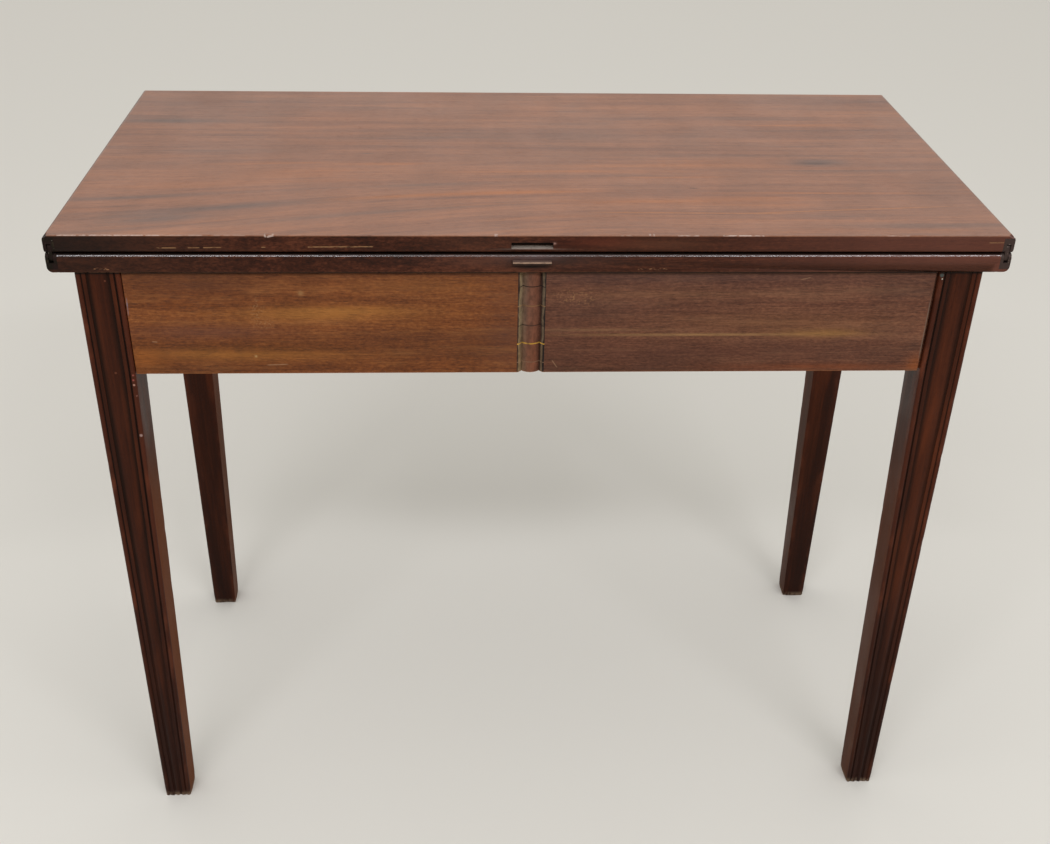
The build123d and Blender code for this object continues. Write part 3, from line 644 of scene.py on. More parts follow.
legLook = {
    "tones": ((31, 13, 6), (51, 21, 10), (78, 36, 18)),
    # dirt and painted shade in the quirks and hollows
    "hollow": (14, 7, 4),
    "raised": (76, 37, 25),
    "innerLowReflection": (110, 64, 40),
    "worn": (112, 60, 40),
    "footWorn": (122, 104, 88),
    "glow": (88, 42, 22),
    "footShade": 0.56,
    # chips and drops on the rear face: place, radius in mm and colour
    "chips": [((-0.3945, 0.585), 1.1, (128, 70, 62)), ((-0.395, 0.5795), 1.1, (140, 72, 66)),
              ((-0.395, 0.574), 1.2, (172, 130, 116)), ((-0.394, 0.5615), 0.8, (124, 86, 78)),
              ((-0.396, 0.5155), 1.7, (140, 116, 112)), ((-0.4072, 0.6863), 1, (90, 50, 36)),
              ((-0.411, 0.5875), 1.3, (86, 48, 34)), ((0.3943, 0.6919), 2.2, (70, 74, 72)),
              ((0.395, 0.6881), 0.8, (190, 184, 170))],
}


def legWood():
    look = legLook
    material, g, shader = newWood("mahogany of the legs")
    grain = woodGrain(g, "Z", 0.006)
    x, y, z = g.split(grain["coords"])
    edge, dirtAndShade, inner = [g.get("ShaderNodeAttribute", out="Fac", attribute_name=name)
                         for name in ("edgeShare", "dirtAndShadeShare", "plainShare")]
    tone = grainTone(g, grain, 0.9, 0.8, 0.45, 0.2, 0.15)
    colour = g.ramp(tone, threeTones(*look["tones"]))
    warm = g.noise(grain["flow"] * (7, 60, 60))
    colour = g.tint(colour, look["glow"], g.span(warm, 0.5, 0.72, 0, 0.5))
    # the mouldings' lighter raised parts, and the dirt and painted shade in their hollows, fade out towards
    # the foot
    clear = g.span(z, 0.05, 0.42, 0.25, 1)
    colour = g.tint(colour, look["raised"], edge * clear * 0.45)
    # dirt and painted shade in the quirks and hollows, stronger on the left legs
    dirtyAndShaded = dirtAndShade * clear * g.span(x, -0.2, 0.2, 0.92, 0.74)
    colour = g.tint(colour, look["hollow"], dirtyAndShaded)
    worn = g.span(g.noise(grain["coords"] * (70, 70, 26), 3), 0.48, 0.7)
    colour = g.tint(colour, look["worn"], worn * edge * 0.45)
    rear = g.span(y, 0, -0.15)
    for place, radius, tint in look["chips"]:
        spot = g.span(softSpot(g, x, z, place, (radius * mm, radius * mm)), 0.25, 0.6)
        colour = g.tint(colour, tint, spot * rear)
    colour = colour * g.join(g.span(z, 0, 0.5, look["footShade"], 1))
    # painted shadow under the leaf's overhang
    colour = shadowUnderLeaf(g, colour, z, 0.8)
    # the plain inner faces are browner and duller below the rail, most of all at the rear; the browner
    # colour is a painted reflection of a brown floor
    inner = inner * g.within((z, 0.55, 0.4), (y, 0, -0.15, 0.7, 1), (x, 0.2, -0.2, 0.45, 1))
    colour = g.tint(colour, look["innerLowReflection"], inner * 0.8)
    chafed = g.noise(grain["coords"] * (260, 260, 90), 3)
    foot = g.within((z, 9 * mm, mm), (chafed, 0.34, 0.6))
    colour = g.tint(colour, look["footWorn"], foot * 0.7)
    pores = g.span(grain["pores"], 0.6, 0.72)
    colour = g.tint(colour, (40, 22, 16), pores * 0.35, "MULTIPLY")
    haze = g.noise(grain["coords"] * (14, 14, 9), 3)
    roughness = g.span(haze, 0.35, 0.65, 0.3, 0.44) + foot * 0.3 + dirtAndShade * 0.3 + inner * 0.4
    height = grain["fine"] * 0.35 - pores * 0.4
    finishWood(g, shader, colour, roughness, height, 0.0002, 0.1)
    return material


def plainTimber():
    material, g, shader = newWood("oxidised secondary timber")
    grain = woodGrain(g, "X", 0.01)
    tone = grainTone(g, grain, 1.4, 1.2, 1.2, 0.8)
    colour = g.ramp(tone, threeTones((72, 50, 32), (112, 82, 54), (146, 112, 76)))
    pores = g.span(grain["pores"], 0.56, 0.68)
    colour = g.tint(colour, (60, 40, 26), pores * 0.6, "MULTIPLY")
    height = grain["fine"] - pores * 0.8
    finishWood(g, shader, colour, g.span(grain["broad"], 0.3, 0.7, 0.68, 0.82), height, 0.0003)
    return material


metalLook = {
    "brass": {"name": "tarnished brass", "dark": (31, 26, 19), "bright": (60, 50, 38),
              "grimeAndShade": (40, 26, 24), "specks": (142, 128, 118), "worn": (0.5, 0.78),
              "rough": 0.44, "rightEnd": 0.5},
    "iron": {"name": "old iron", "dark": (40, 34, 31), "bright": (88, 78, 72),
             "grimeAndShade": (30, 24, 20), "specks": (96, 84, 76), "worn": (0.5, 0.74),
             "rough": 0.42, "rightEnd": 0},
}


def oldMetal(look):
    material, g, shader = newWood(look["name"])
    coords = g.get("ShaderNodeTexCoord", out="Object")
    patches = g.noise(coords * (180, 180, 180), 4, 0.6)
    worn = g.span(patches, *look["worn"])
    colour = g.mix(worn, paint(*look["dark"]), paint(*look["bright"]))
    dirty = g.noise(coords * (110, 110, 110) + (5, 2, 7), 3, 0.6)
    colour = g.tint(colour, look["grimeAndShade"], g.span(dirty, 0.44, 0.6))
    right = g.span(g.split(coords)[0], 0.1, 0.4, 0, look["rightEnd"])
    colour = g.tint(colour, (92, 76, 72), right)
    crumbs = g.noise(coords * (560, 560, 560), 1)
    colour = g.tint(colour, look["specks"], g.span(crumbs, 0.7, 0.78, 0, 0.8))
    rough = look["rough"]
    roughness = g.span(worn, 0, 1, rough + 0.2, rough)
    grit = g.noise(coords * (900, 900, 900), 3)
    finishWood(g, shader, colour, roughness, grit + patches, 0.0001)
    shader.inputs["Metallic"].default_value = 0.85
    return material


finishes = {
    "top": topWood("mahogany of the top", 0.3, 0.1),
    "edge": topWood("mahogany of the edges", 0.1, 0),
    "arris": topWood("rubbed arris of the lower leaf", 0.6, 0, 0.18),
    "tongue": tongueWood(),
    "legs": legWood(),
    "leftRail": railWood("left"),
    "rightRail": railWood("right"),
    "farRail": railWood("far"),
    "endRail": railWood("far", "Y"),
    "timber": plainTimber(),
    "brass": oldMetal(metalLook["brass"]),
    "iron": oldMetal(metalLook["iron"]),
}
print("materials made:", len(finishes))


# A copy of a node's mesh, merged, with its edges eased and knocked
def mergedCopy(nodeName, pieceName):
    mesh = frame["nodes"][nodeName].data.copy()
    mesh.name = pieceName
    for layer in ("custom_normal", "sharp_face"):
        if layer in mesh.attributes:
            mesh.attributes.remove(mesh.attributes[layer])
    shape = bmesh.new()
    shape.from_mesh(mesh)
    bmesh.ops.remove_doubles(shape, verts=shape.verts, dist=0.002 * mm)
    bmesh.ops.dissolve_limit(shape, angle_limit=math.radians(0.4), verts=shape.verts, edges=shape.edges)
    shape.to_mesh(mesh)
    shape.free()
    mesh.materials.clear()
    return linked(pieceName, mesh)


def knocks(name, places, rng):
    # Small irregular blobs that are cut out of an edge, each (centre, half sizes)
    shape = bmesh.new()
    for centre, size in places:
        made = bmesh.ops.create_icosphere(shape, subdivisions=2, radius=1)
        turn = Matrix.Rotation(rng.uniform(-0.25, 0.25), 4, "Z")
        for vert in made["verts"]:
            swell = 1 + rng.uniform(-0.18, 0.18)
            stretched = Vector([a * b * swell for a, b in zip(vert.co, size)])
            vert.co = turn @ stretched + Vector(centre)
    mesh = bpy.data.meshes.new(name)
    shape.to_mesh(mesh)
    shape.free()
    return linked(name, mesh)


def applied(piece):
    # The piece's mesh with its modifiers worked in, and the modifiers removed
    bpy.context.view_layer.update()
    graph = bpy.context.evaluated_depsgraph_get()
    mesh = bpy.data.meshes.new_from_object(piece.evaluated_get(graph))
    old = piece.data
    piece.modifiers.clear()
    piece.data = mesh
    mesh.name = piece.name
    if old.users == 0:
        bpy.data.meshes.remove(old)
    return piece


def smoothed(piece, angle):
    piece.data.shade_smooth()
    piece.data.set_sharp_from_angle(angle=math.radians(angle))


def cutBy(piece, cutter, crossing=False):
    # A cut by another mesh, whose own pieces may cross each other
    cut = piece.modifiers.new(cutter.name, "BOOLEAN")
    cut.object = cutter
    cut.solver = "EXACT"
    cut.use_self = crossing


def eased(piece, width, cutter=None):
    bevel = piece.modifiers.new("eased edges", "BEVEL")
    bevel.width = width
    bevel.segments = 2
    bevel.limit_method = "ANGLE"
    bevel.angle_limit = math.radians(32)
    if cutter:
        cutBy(piece, cutter, True)
    applied(piece)
    smoothed(piece, 38)
    normals = piece.modifiers.new("flat faces stay flat", "WEIGHTED_NORMAL")
    normals.keep_sharp = True
    normals.weight = 80
    applied(piece)
    if cutter:
        bpy.data.objects.remove(cutter)
    return piece


def placed(piece, body, material, nodeName):
    piece.data.materials.clear()
    for each in material if isinstance(material, list) else [material]:
        piece.data.materials.append(each)
    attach(piece, body)
    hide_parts(nodeName)
    return piece


def alongEdge(rng, ends, count, sizes, outward):
    # Knocks scattered along a straight edge, with their centres a little outside it
    places = []
    a, b = [Vector(end) for end in ends]
    for number in range(count):
        centre = a.lerp(b, rng.random()) + Vector(outward)
        places.append((centre, [rng.uniform(low, high) * mm for low, high in sizes]))
    return places


# The two leaves
leafWear = {
    "easing": 0.5 * mm,
    "tongueEasing": 0.35 * mm,
    # knocks along the rear arris: how many, sizes in mm and how far outside it
    "flapChips": (26, ((0.6, 2.4), (0.4, 0.9), (0.4, 0.9)), (0, -0.15 * mm, 0.15 * mm)),
    "flapRubs": (9, ((9, 30), (0.7, 1), (0.7, 1)), (0, -0.4 * mm, 0.4 * mm)),
    "lowerChips": (26, ((0.6, 2.6), (0.4, 0.9), (0.4, 0.9)), (0, -0.15 * mm, -0.15 * mm)),
    # larger chips of the flap: place along the arris and half length in mm
    "chipAt": [(-249.3, 4.5), (-38.8, 2.2), (106, 1.8)],
    # missing corners: side and half sizes in mm
    "cornerBites": [(-1, (6, 7, 2.6)), (1, (7, 7.5, 3.2))],
    "seed": 11,
}


def sortFaces(piece):
    # Show faces take the first finish, edges the second and the lower leaf's rear arris the third
    arrisReach = 6 * mm
    for face in piece.data.polygons:
        nearArris = (piece.name == "fixed_top" and face.center.y < rearEdge + arrisReach
                     and abs(face.center.z - leafFace) < arrisReach)
        if abs(face.normal.z) > 0.9 and not nearArris:
            face.material_index = 0
        else:
            face.material_index = 2 if nearArris and 0.38 < face.normal.z < 0.76 else 1


leafFinishes = [finishes["top"], finishes["edge"], finishes["arris"]]


def makeLeaf(nodeName, pieceName, body, height, seed, scattered, named=()):
    rng = random.Random(seed)
    piece = mergedCopy(nodeName, pieceName)
    ends = [(side * halfLength, rearEdge, height) for side in (-1, 1)]
    places = []
    for row in scattered:
        places += alongEdge(rng, ends, *leafWear[row])
    cutter = knocks(pieceName + " knocks", places + list(named), rng)
    eased(piece, leafWear["easing"], cutter)
    placed(piece, body, leafFinishes, nodeName)
    sortFaces(piece)


larger = [((x * mm, rearEdge - 0.3 * mm, topFace + 0.3 * mm), (w * mm, 1.6 * mm, 1.6 * mm))
          for x, w in leafWear["chipAt"]]
bites = [((side * halfLength, rearEdge, topFace), [size * mm for size in sizes])
         for side, sizes in leafWear["cornerBites"]]
makeLeaf("flap_leaf", "flap", "flap", topFace, leafWear["seed"], ("flapChips", "flapRubs"), larger + bites)
makeLeaf("fixed_leaf", "fixed_top", "frame", leafUnder, leafWear["seed"] + 1, ("lowerChips",))
tongue = eased(mergedCopy("leaf_tongue", "tongue"), leafWear["tongueEasing"])
placed(tongue, "frame", finishes["tongue"], "leaf_tongue")
print("leaves made")


# Legs: one moulded section, swept down to a narrower foot by geometry nodes
legShape = {
    "bead": 2.6 * mm,
    "quirkDepth": 1.4 * mm,
    "quirkWidth": 1.3 * mm,
    "filletDrop": 0.5 * mm,
    "filletWidth": 4 * mm,
    "panelDrop": 1.6 * mm,
    "panelCrown": 0.4 * mm,
    "coveWidth": 2.2 * mm,
    "corner": 0.7 * mm,
}
legWidth = 42.5 * mm
legSizes = {"Rings": 150, "Leg Width": legWidth, "Foot Width": 30 * mm, "Knee Height": railBottom,
            "Edge Wear": 0.5 * mm, "Foot Wear": 1.4 * mm}


def legSection():
    # Points of the section from the outer corner: (fixed x, y, growth x, y with the width, edge, dirt and
    # painted shade)
    s = legShape
    bead = s["bead"]
    side = bead + math.sqrt(bead ** 2 - (bead - s["quirkDepth"]) ** 2)
    quirkEnd = side + s["quirkWidth"]
    panelStart = quirkEnd + s["filletWidth"]
    ease = 0.15 * mm
    startAngle = math.atan2(s["quirkDepth"] - bead, side - bead)

    def near(x, y, edge=0, dirtAndShade=0):
        return (x, y, 0, 0, edge, dirtAndShade)

    half = [near(bead + bead * math.cos(a), bead + bead * math.sin(a), 1)
            for a in [math.radians(-135 + step * (135 + math.degrees(startAngle)) / 5) for step in range(6)]]
    # the quirks and the cove hold dirt and painted shade
    half += [near(side + ease, s["quirkDepth"], 0, 1), near(quirkEnd - ease, s["quirkDepth"], 0, 1),
             near(quirkEnd, s["filletDrop"] + ease, 0, 0.9),
             near(quirkEnd + ease, s["filletDrop"], 0, 0.7), near(quirkEnd + 0.8 * mm, s["filletDrop"]),
             near(panelStart - ease, s["filletDrop"])]
    # a small cove leads down from the fillet to the panel
    cove, fall = s["coveWidth"], s["panelDrop"] - s["filletDrop"]
    half += [near(panelStart, s["filletDrop"] + 0.2 * fall, 0, 0.3),
             near(panelStart + 0.15 * cove, s["filletDrop"] + 0.7 * fall, 0, 0.9),
             near(panelStart + 0.5 * cove, s["filletDrop"] + 0.95 * fall, 0, 0.85)]
    panelStart += cove
    panel = []
    for step in range(1, 10):
        t = step / 10
        rise = (s["panelDrop"] - s["panelCrown"]) * (1 - (2 * t - 1) ** 2)
        shadow = 0.3 if step in (1, 9) else 0
        panel.append((panelStart * (1 - 2 * t), s["panelDrop"] - rise, t, 0, 0, shadow))
    first = near(panelStart, s["panelDrop"], 0, 0.75)
    run = half + [first] + panel
    mirrored = [(-x, y, 1, 0, e, d) for x, y, gx, gy, e, d in reversed(half[1:] + [first])]
    # the far bead turns on round to the plain inner face
    run += mirrored[:-5]
    for step in range(8):
        a = math.pi - startAngle + step * (math.pi + startAngle) / 7
        run.append((-bead + bead * math.cos(a), bead + bead * math.sin(a), 1, 0, 1, 0))
    face = [(0, bead, 1, 0, 0.4, 0)]
    face += [(0, bead * (1 - t), 1, t, 0, 0) for t in (0.25, 0.5, 0.75)]
    r = s["corner"]
    turned = [(-r + r * math.cos(a), -r + r * math.sin(a), 1, 1, 0.9, 0)
              for a in (0, math.radians(22.5), math.radians(45))]
    run += face[1:] + turned[:2]
    other = [(y, x, gy, gx, e, d) for x, y, gx, gy, e, d in reversed(run[1:])]
    return run + [turned[2]] + other


def pointMesh(name, places, layers):
    # Loose points, with layers of vectors or of numbers: label -> one value for each point
    mesh = bpy.data.meshes.new(name)
    mesh.from_pydata(places, [], [])
    for label, values in layers.items():
        isNumber = isinstance(values[0], float)
        layer = mesh.attributes.new(label, "FLOAT" if isNumber else "FLOAT_VECTOR", "POINT")
        for index, value in enumerate(values):
            setattr(layer.data[index], "value" if isNumber else "vector", value)
    return mesh


def newTree(name, **inputs):
    # A geometry node tree with named inputs, listed by kind. Returns the inputs' identifiers too
    tree = bpy.data.node_groups.new(name, "GeometryNodeTree")
    tree.interface.new_socket("Geometry", in_out="OUTPUT", socket_type="NodeSocketGeometry")
    tree.interface.new_socket("Geometry", in_out="INPUT", socket_type="NodeSocketGeometry")
    keys = {}
    for group, labels in inputs.items():
        kind = "NodeSocket" + group.capitalize()
        for label in labels:
            made = tree.interface.new_socket(label, in_out="INPUT", socket_type=kind)
            keys[label] = made.identifier
    return tree, keys


def grownPiece(name, mesh, tree, keys, values):
    # An object whose mesh comes from the tree, turned into a plain mesh
    piece = linked(name, mesh)
    modifier = piece.modifiers.new("shape", "NODES")
    modifier.node_group = tree
    for label, value in values.items():
        modifier[keys[label]] = value
    return applied(piece)


def legTree():
    tree, keys = newTree("Tapered leg", int=("Section Points", "Rings"), vector=("Corner", "Inward"),
                         float=("Height", "Knee Height", "Leg Width", "Foot Width", "Edge Wear",
                                "Foot Wear", "Seed"), material=("Finish",))
    g = Sketch(tree)
    given = g.given()
    wrap = given["Section Points"] + 1
    geometry = g.get("GeometryNodeMeshGrid", {"Size X": 1, "Size Y": 1, "Vertices X": wrap,
                                              "Vertices Y": given["Rings"]})
    u, v = g.split(g.get("GeometryNodeInputPosition"))[:2]
    index = g.calc("ROUND", (u + 0.5) * given["Section Points"])
    index = g.calc("MODULO", index, given["Section Points"])
    ring = g.calc("ROUND", (v + 0.5) * (given["Rings"] - 1))

    def sampled(label, kind="FLOAT"):
        value = g.get("GeometryNodeInputNamedAttribute", {"Name": label}, data_type=kind)
        return g.get("GeometryNodeSampleIndex",
                     {"Geometry": given["Geometry"], "Value": value, "Index": index}, data_type=kind)

    fixed = sampled("fixedPart", "FLOAT_VECTOR")
    grow = sampled("growPart", "FLOAT_VECTOR")
    edge = sampled("edgePart")
    dirtAndShade = sampled("dirtAndShadePart")

    # two rings at each end close it: one set in a little, one drawn to a point
    share = g.calc("DIVIDE", ring - 2, given["Rings"] - 5, clamp=True)
    z = g.calc("POWER", share, 1.6) * given["Height"]
    fromTop = given["Rings"] - 1 - ring
    lowCap = g.calc("SUBTRACT", 1, ring * 0.9, clamp=True)
    highCap = g.calc("SUBTRACT", 1, fromTop * 0.9, clamp=True)
    cap = g.calc("MAXIMUM", lowCap, highCap)

    knee = g.calc("DIVIDE", z, given["Knee Height"], clamp=True)
    spread = given["Leg Width"] - given["Foot Width"]
    width = given["Foot Width"] + spread * knee
    point = fixed + grow * g.join(width, width, 0)
    toMiddle = g.join(width * 0.5, width * 0.5, 0) - point

    # knocked edges, and a foot worn ragged
    px, py = g.split(point)[:2]
    spot = g.join(px, py, z) + g.join(given["Seed"], 0, 0)
    dents = g.span(g.noise(spot * (90, 90, 34), 3, 0.6), 0.56, 0.74) * edge
    footRub = g.span(z, 14 * mm, 0) * (edge * 0.35) * given["Foot Wear"]
    dentDepth = dents * given["Edge Wear"] + footRub
    dented = g.calc("NORMALIZE", toMiddle) * g.join(dentDepth)
    point = point + (dented + toMiddle * g.join(cap))
    ragged = g.noise(spot * (420, 420, 8), 3, 0.6)
    ragged = g.span(ragged, 0.42, 0.72) * given["Foot Wear"]
    ragged = ragged * g.span(z, 3 * mm, 0) * g.calc("LESS_THAN", cap, 0.05)
    px, py = g.split(point)[:2]
    local = g.join(px, py, z + ragged) * given["Inward"] + given["Corner"]
    # the plain face that looks along the table has no sideways part in its section
    growsFull = g.calc("GREATER_THAN", g.split(grow)[0], 0.99)
    plain = growsFull * g.calc("GREATER_THAN", g.split(fixed)[0], -0.01 * mm)
    for label, value in (("edgeShare", edge), ("dirtAndShadeShare", dirtAndShade), ("plainShare", plain)):
        geometry = g.get("GeometryNodeStoreNamedAttribute",
                         {"Geometry": geometry, "Name": label, "Value": value}, data_type="FLOAT",
                         domain="POINT")
    shaped = g.get("GeometryNodeSetPosition", {"Geometry": geometry, "Position": local})
    merged = g.get("GeometryNodeMergeByDistance", {"Geometry": shaped, "Distance": 0.004 * mm})
    flipped = g.get("GeometryNodeFlipFaces", {0: merged})
    sides = g.split(given["Inward"])
    mirrored = g.calc("LESS_THAN", sides[0] * sides[1], 0)
    choice = g.get("GeometryNodeSwitch", {"Switch": mirrored, "False": merged, "True": flipped},
                   input_type="GEOMETRY")
    g.close(choice, given["Finish"])
    return tree, keys


legGrower, legKeys = legTree()


def makeLeg(pieceName, nodeName, body, seed):
    low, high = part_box(nodeName)
    right = high.x > 0
    front = high.y > 0
    corner = (high.x if right else low.x, high.y if front else low.y, 0.0)
    points = legSection()
    places = [(p[0], p[1], 0) for p in points]
    mesh = pointMesh(pieceName + " section", places,
                     {"fixedPart": places, "growPart": [(p[2], p[3], 0) for p in points],
                      "edgePart": [float(p[4]) for p in points],
                      "dirtAndShadePart": [float(p[5]) for p in points]})
    piece = grownPiece(pieceName, mesh, legGrower, legKeys,
                       {**legSizes, "Section Points": len(points), "Height": high.z, "Corner": corner,
                        "Inward": (-1.0 if right else 1.0, -1.0 if front else 1.0, 1.0), "Seed": seed,
                        "Finish": finishes["legs"]})
    smoothed(piece, 34)
    return placed(piece, body, finishes["legs"], nodeName)


def cutBox(piece, low, high):
    # Cuts a box, given by two corners, out of a piece
    shape = bmesh.new()
    bmesh.ops.create_cube(shape, size=1)
    middle = (Vector(low) + Vector(high)) / 2
    size = Vector(high) - Vector(low)
    for vert in shape.verts:
        vert.co = Vector([a * b for a, b in zip(vert.co, size)]) + middle
    mesh = bpy.data.meshes.new("rebate")
    shape.to_mesh(mesh)
    shape.free()
    cutter = linked("rebate", mesh)
    cutBy(piece, cutter)
    applied(piece)
    bpy.data.objects.remove(cutter)
    return piece


for pieceName, nodeName, seed in (("left_rear_leg", "rear_left_leg", 1.3),
                                  ("left_front_leg", "front_left_leg", 4.1),
                                  ("right_front_leg", "front_right_leg", 7.7)):
    makeLeg(pieceName, nodeName, "frame", seed)
gateLeg = makeLeg("gate_leg", "swing_leg", "gate", 9.4)

# the gate leg is rebated above the rail's lower edge, to close over the frame's corner
legLow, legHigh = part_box("swing_leg")
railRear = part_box("swing_rail")[0].y
rebateInner = -192.3 * mm
skin = 12 * mm
cutBox(gateLeg, (legHigh.x - legWidth - mm, rebateInner, railBottom - 0.5 * mm),
       (legHigh.x - skin, legLow.y + legWidth + mm, legHigh.z + mm))
smoothed(gateLeg, 34)
print("legs made")


# The rails
railWear = {"easing": 0.45 * mm, "shoulderDepth": 5 * mm}


def makeRail(nodeName, pieceName, body, material):
    piece = mergedCopy(nodeName, pieceName)
    eased(piece, railWear["easing"])
    return placed(piece, body, material, nodeName)


fixedRail = makeRail("fixed_rear_rail", "fixed_gate_rail", "frame", finishes["leftRail"])
gateRail = makeRail("swing_rail", "gate_rail", "gate", finishes["rightRail"])

# shrunk shoulders: an open joint on the rear face, where each half of the rail meets its leg
for rail, side, openJoint in ((fixedRail, -1, 0.9 * mm), (gateRail, 1, 3.2 * mm)):
    shoulder = side * (legHigh.x - legWidth)
    ends = sorted((shoulder - side * openJoint, shoulder + side * mm))
    cutBox(rail, (ends[0], legLow.y, railBottom - mm),
           (ends[1], railRear + railWear["shoulderDepth"], legHigh.z + mm))
for nodeName, pieceName, finish in (("front_rail", "far_frieze", "farRail"),
                                    ("left_end_rail", "left_frieze", "endRail"),
                                    ("right_end_rail", "right_frieze", "endRail"),
                                    ("inner_rear_rail", "inner_rail", "timber"),
                                    ("glue_blocks", "rubbed_blocks", "timber")):
    makeRail(nodeName, pieceName, "frame", finishes[finish])
print("rails made")


# Hinges and pins
metalWork = [
    ("left_hinge_lower_plate", "left_lower_cheeks", "frame", "brass"),
    ("right_hinge_lower_plate", "right_lower_cheeks", "frame", "brass"),
    ("left_hinge_upper_plate", "left_upper_cheeks", "flap", "brass"),
    ("right_hinge_upper_plate", "right_upper_cheeks", "flap", "brass"),
    ("left_hinge_link", "left_link", "hinge_links", "brass"),
    ("right_hinge_link", "right_link", "hinge_links", "brass"),
    ("lower_hinge_pins", "lower_pins", "frame", "iron"),
    ("upper_hinge_pins", "upper_pins", "flap", "iron"),
    ("knuckle_pin", "knuckle_rod", "frame", "iron"),
]
metalEasing = 0.22 * mm
for nodeName, pieceName, body, finish in metalWork:
    piece = eased(mergedCopy(nodeName, pieceName), metalEasing)
    placed(piece, body, finishes[finish], nodeName)
print("metalwork made")


# Slotted wood screws, one shape set by geometry nodes where the frame has its screws
screwShape = {
    "Slot Width": 0.8 * mm,
    "Slot Depth": 0.7 * mm,
    "Thread Depth": 0.45 * mm,
    "Pitch": 1.9 * mm,
    "Plain Share": 0.38,
    "Sides": 28,
    "Rows": 96,
    "Seed": 5,
}
screwSets = [
    ("lower_plate_screws", "lower_screws", "frame", "brass"),
    ("upper_plate_screws", "upper_screws", "flap", "brass"),
    ("top_screws", "pocket_screws", "frame", "iron"),
    ("rear_rail_screws", "rail_screws", "frame", "iron"),
]


def looseParts(mesh):
    # The vertices of a mesh, grouped into the pieces that hang together
    leader = list(range(len(mesh.vertices)))

    def find(index):
        while leader[index] != index:
            leader[index] = leader[leader[index]]
            index = leader[index]
        return index

    for edge in mesh.edges:
        a, b = edge.vertices
        leader[find(a)] = find(b)
    groups = {}
    for index, vertex in enumerate(mesh.vertices):
        groups.setdefault(find(index), []).append(vertex.co.copy())
    return list(groups.values())


def measured(points, origin, axis):
    # Depth along the axis and distance from it, for each point
    offsets = [point - origin for point in points]
    return [(offset.dot(axis), (offset - axis * offset.dot(axis)).length) for offset in offsets]


def screwPlaces(nodeName):
    # Head centre and direction of each screw of a node, and the sizes that they share
    gauge = mergedCopy(nodeName, "screw gauge")
    places = []
    for points in looseParts(gauge.data):
        middle = sum(points, Vector()) / len(points)
        spread = numpy.linalg.svd(numpy.array([point - middle for point in points]))[2]
        axis = Vector(spread[0]).normalized()
        if max(measured(points, middle, axis), key=lambda row: row[1])[0] > 0:
            axis.negate()
        along = [depth for depth, radius in measured(points, middle, axis)]
        head = middle + axis * min(along)
        radii = measured(points, head, axis)
        length = max(along) - min(along)
        headRadius = max(radius for depth, radius in radii)
        shankRadius = max(radius for depth, radius in radii if depth > length / 2)
        headDepth = min(depth for depth, radius in radii
                        if abs(radius - shankRadius) < 0.02 * shankRadius and depth > mm)
        places.append((head, axis))
    bpy.data.objects.remove(gauge)
    return places, {"Length": length, "Head Radius": headRadius, "Head Depth": headDepth,
                    "Shank Radius": shankRadius}


def screwTree():
    tree, keys = newTree("Slotted screw", int=("Sides", "Rows", "Seed"), material=("Finish",),
                         float=("Length", "Head Radius", "Head Depth", "Shank Radius", "Slot Width",
                                "Slot Depth", "Thread Depth", "Pitch", "Plain Share"))
    g = Sketch(tree)
    given = g.given()
    grid = g.get("GeometryNodeMeshGrid", {"Size X": 1, "Size Y": 1, "Vertices X": given["Sides"],
                                          "Vertices Y": given["Rows"]})
    u, v = g.split(g.get("GeometryNodeInputPosition"))[:2]
    turn = u + 0.5
    angle = turn * (2 * math.pi)
    lastRow = given["Rows"] - 1
    row = g.calc("ROUND", (v + 0.5) * lastRow)
    share = g.calc("DIVIDE", row - 1, lastRow - 2, clamp=True)
    depth = share * given["Length"]

    # head cone, plain shank, thread and point
    sink = g.calc("DIVIDE", depth, given["Head Depth"], clamp=True)
    drop = given["Head Radius"] - given["Shank Radius"]
    radius = given["Head Radius"] - drop * sink
    ridge = g.calc("PINGPONG", depth / given["Pitch"] - turn, 0.5)
    thread = (1 - ridge * 2) * given["Thread Depth"]
    started = g.span(share, given["Plain Share"], given["Plain Share"] + 0.06)
    radius = radius - thread * started
    point = g.calc("DIVIDE", given["Length"] - depth, given["Shank Radius"], clamp=True)
    radius = radius * (0.25 + point * 0.75)
    inner = g.calc("GREATER_THAN", row, 0.5) * g.calc("LESS_THAN", row, lastRow - 0.5)
    radius = radius * inner
    place = g.join(radius * g.calc("COSINE", angle), radius * g.calc("SINE", angle), depth)
    shaped = g.get("GeometryNodeSetPosition", {"Geometry": grid, "Position": place})
    closed = g.get("GeometryNodeMergeByDistance", {"Geometry": shaped, "Distance": 0.002 * mm})
    slotSize = g.join(given["Head Radius"] * 3, given["Slot Width"], given["Slot Depth"] * 2)
    slot = g.get("GeometryNodeMeshCube", {"Size": slotSize})
    cut = g.get("GeometryNodeMeshBoolean", {"Mesh 1": closed, "Mesh 2": slot}, operation="DIFFERENCE",
                solver="EXACT")

    axis = g.get("GeometryNodeInputNamedAttribute", {"Name": "axis"}, data_type="FLOAT_VECTOR")
    aimed = g.get("FunctionNodeAlignRotationToVector", {"Vector": axis}, axis="Z")
    drawn = g.get("FunctionNodeRandomValue", {"Seed": given["Seed"]}, out=1, data_type="FLOAT")
    twist = g.join(0, 0, drawn * math.pi)
    turned = g.get("FunctionNodeRotateRotation", {"Rotation": aimed, "Rotate By": twist},
                   rotation_space="LOCAL")
    spread = g.get("GeometryNodeInstanceOnPoints",
                   {"Points": given["Geometry"], "Instance": cut, "Rotation": turned})
    g.close(spread, given["Finish"])
    return tree, keys


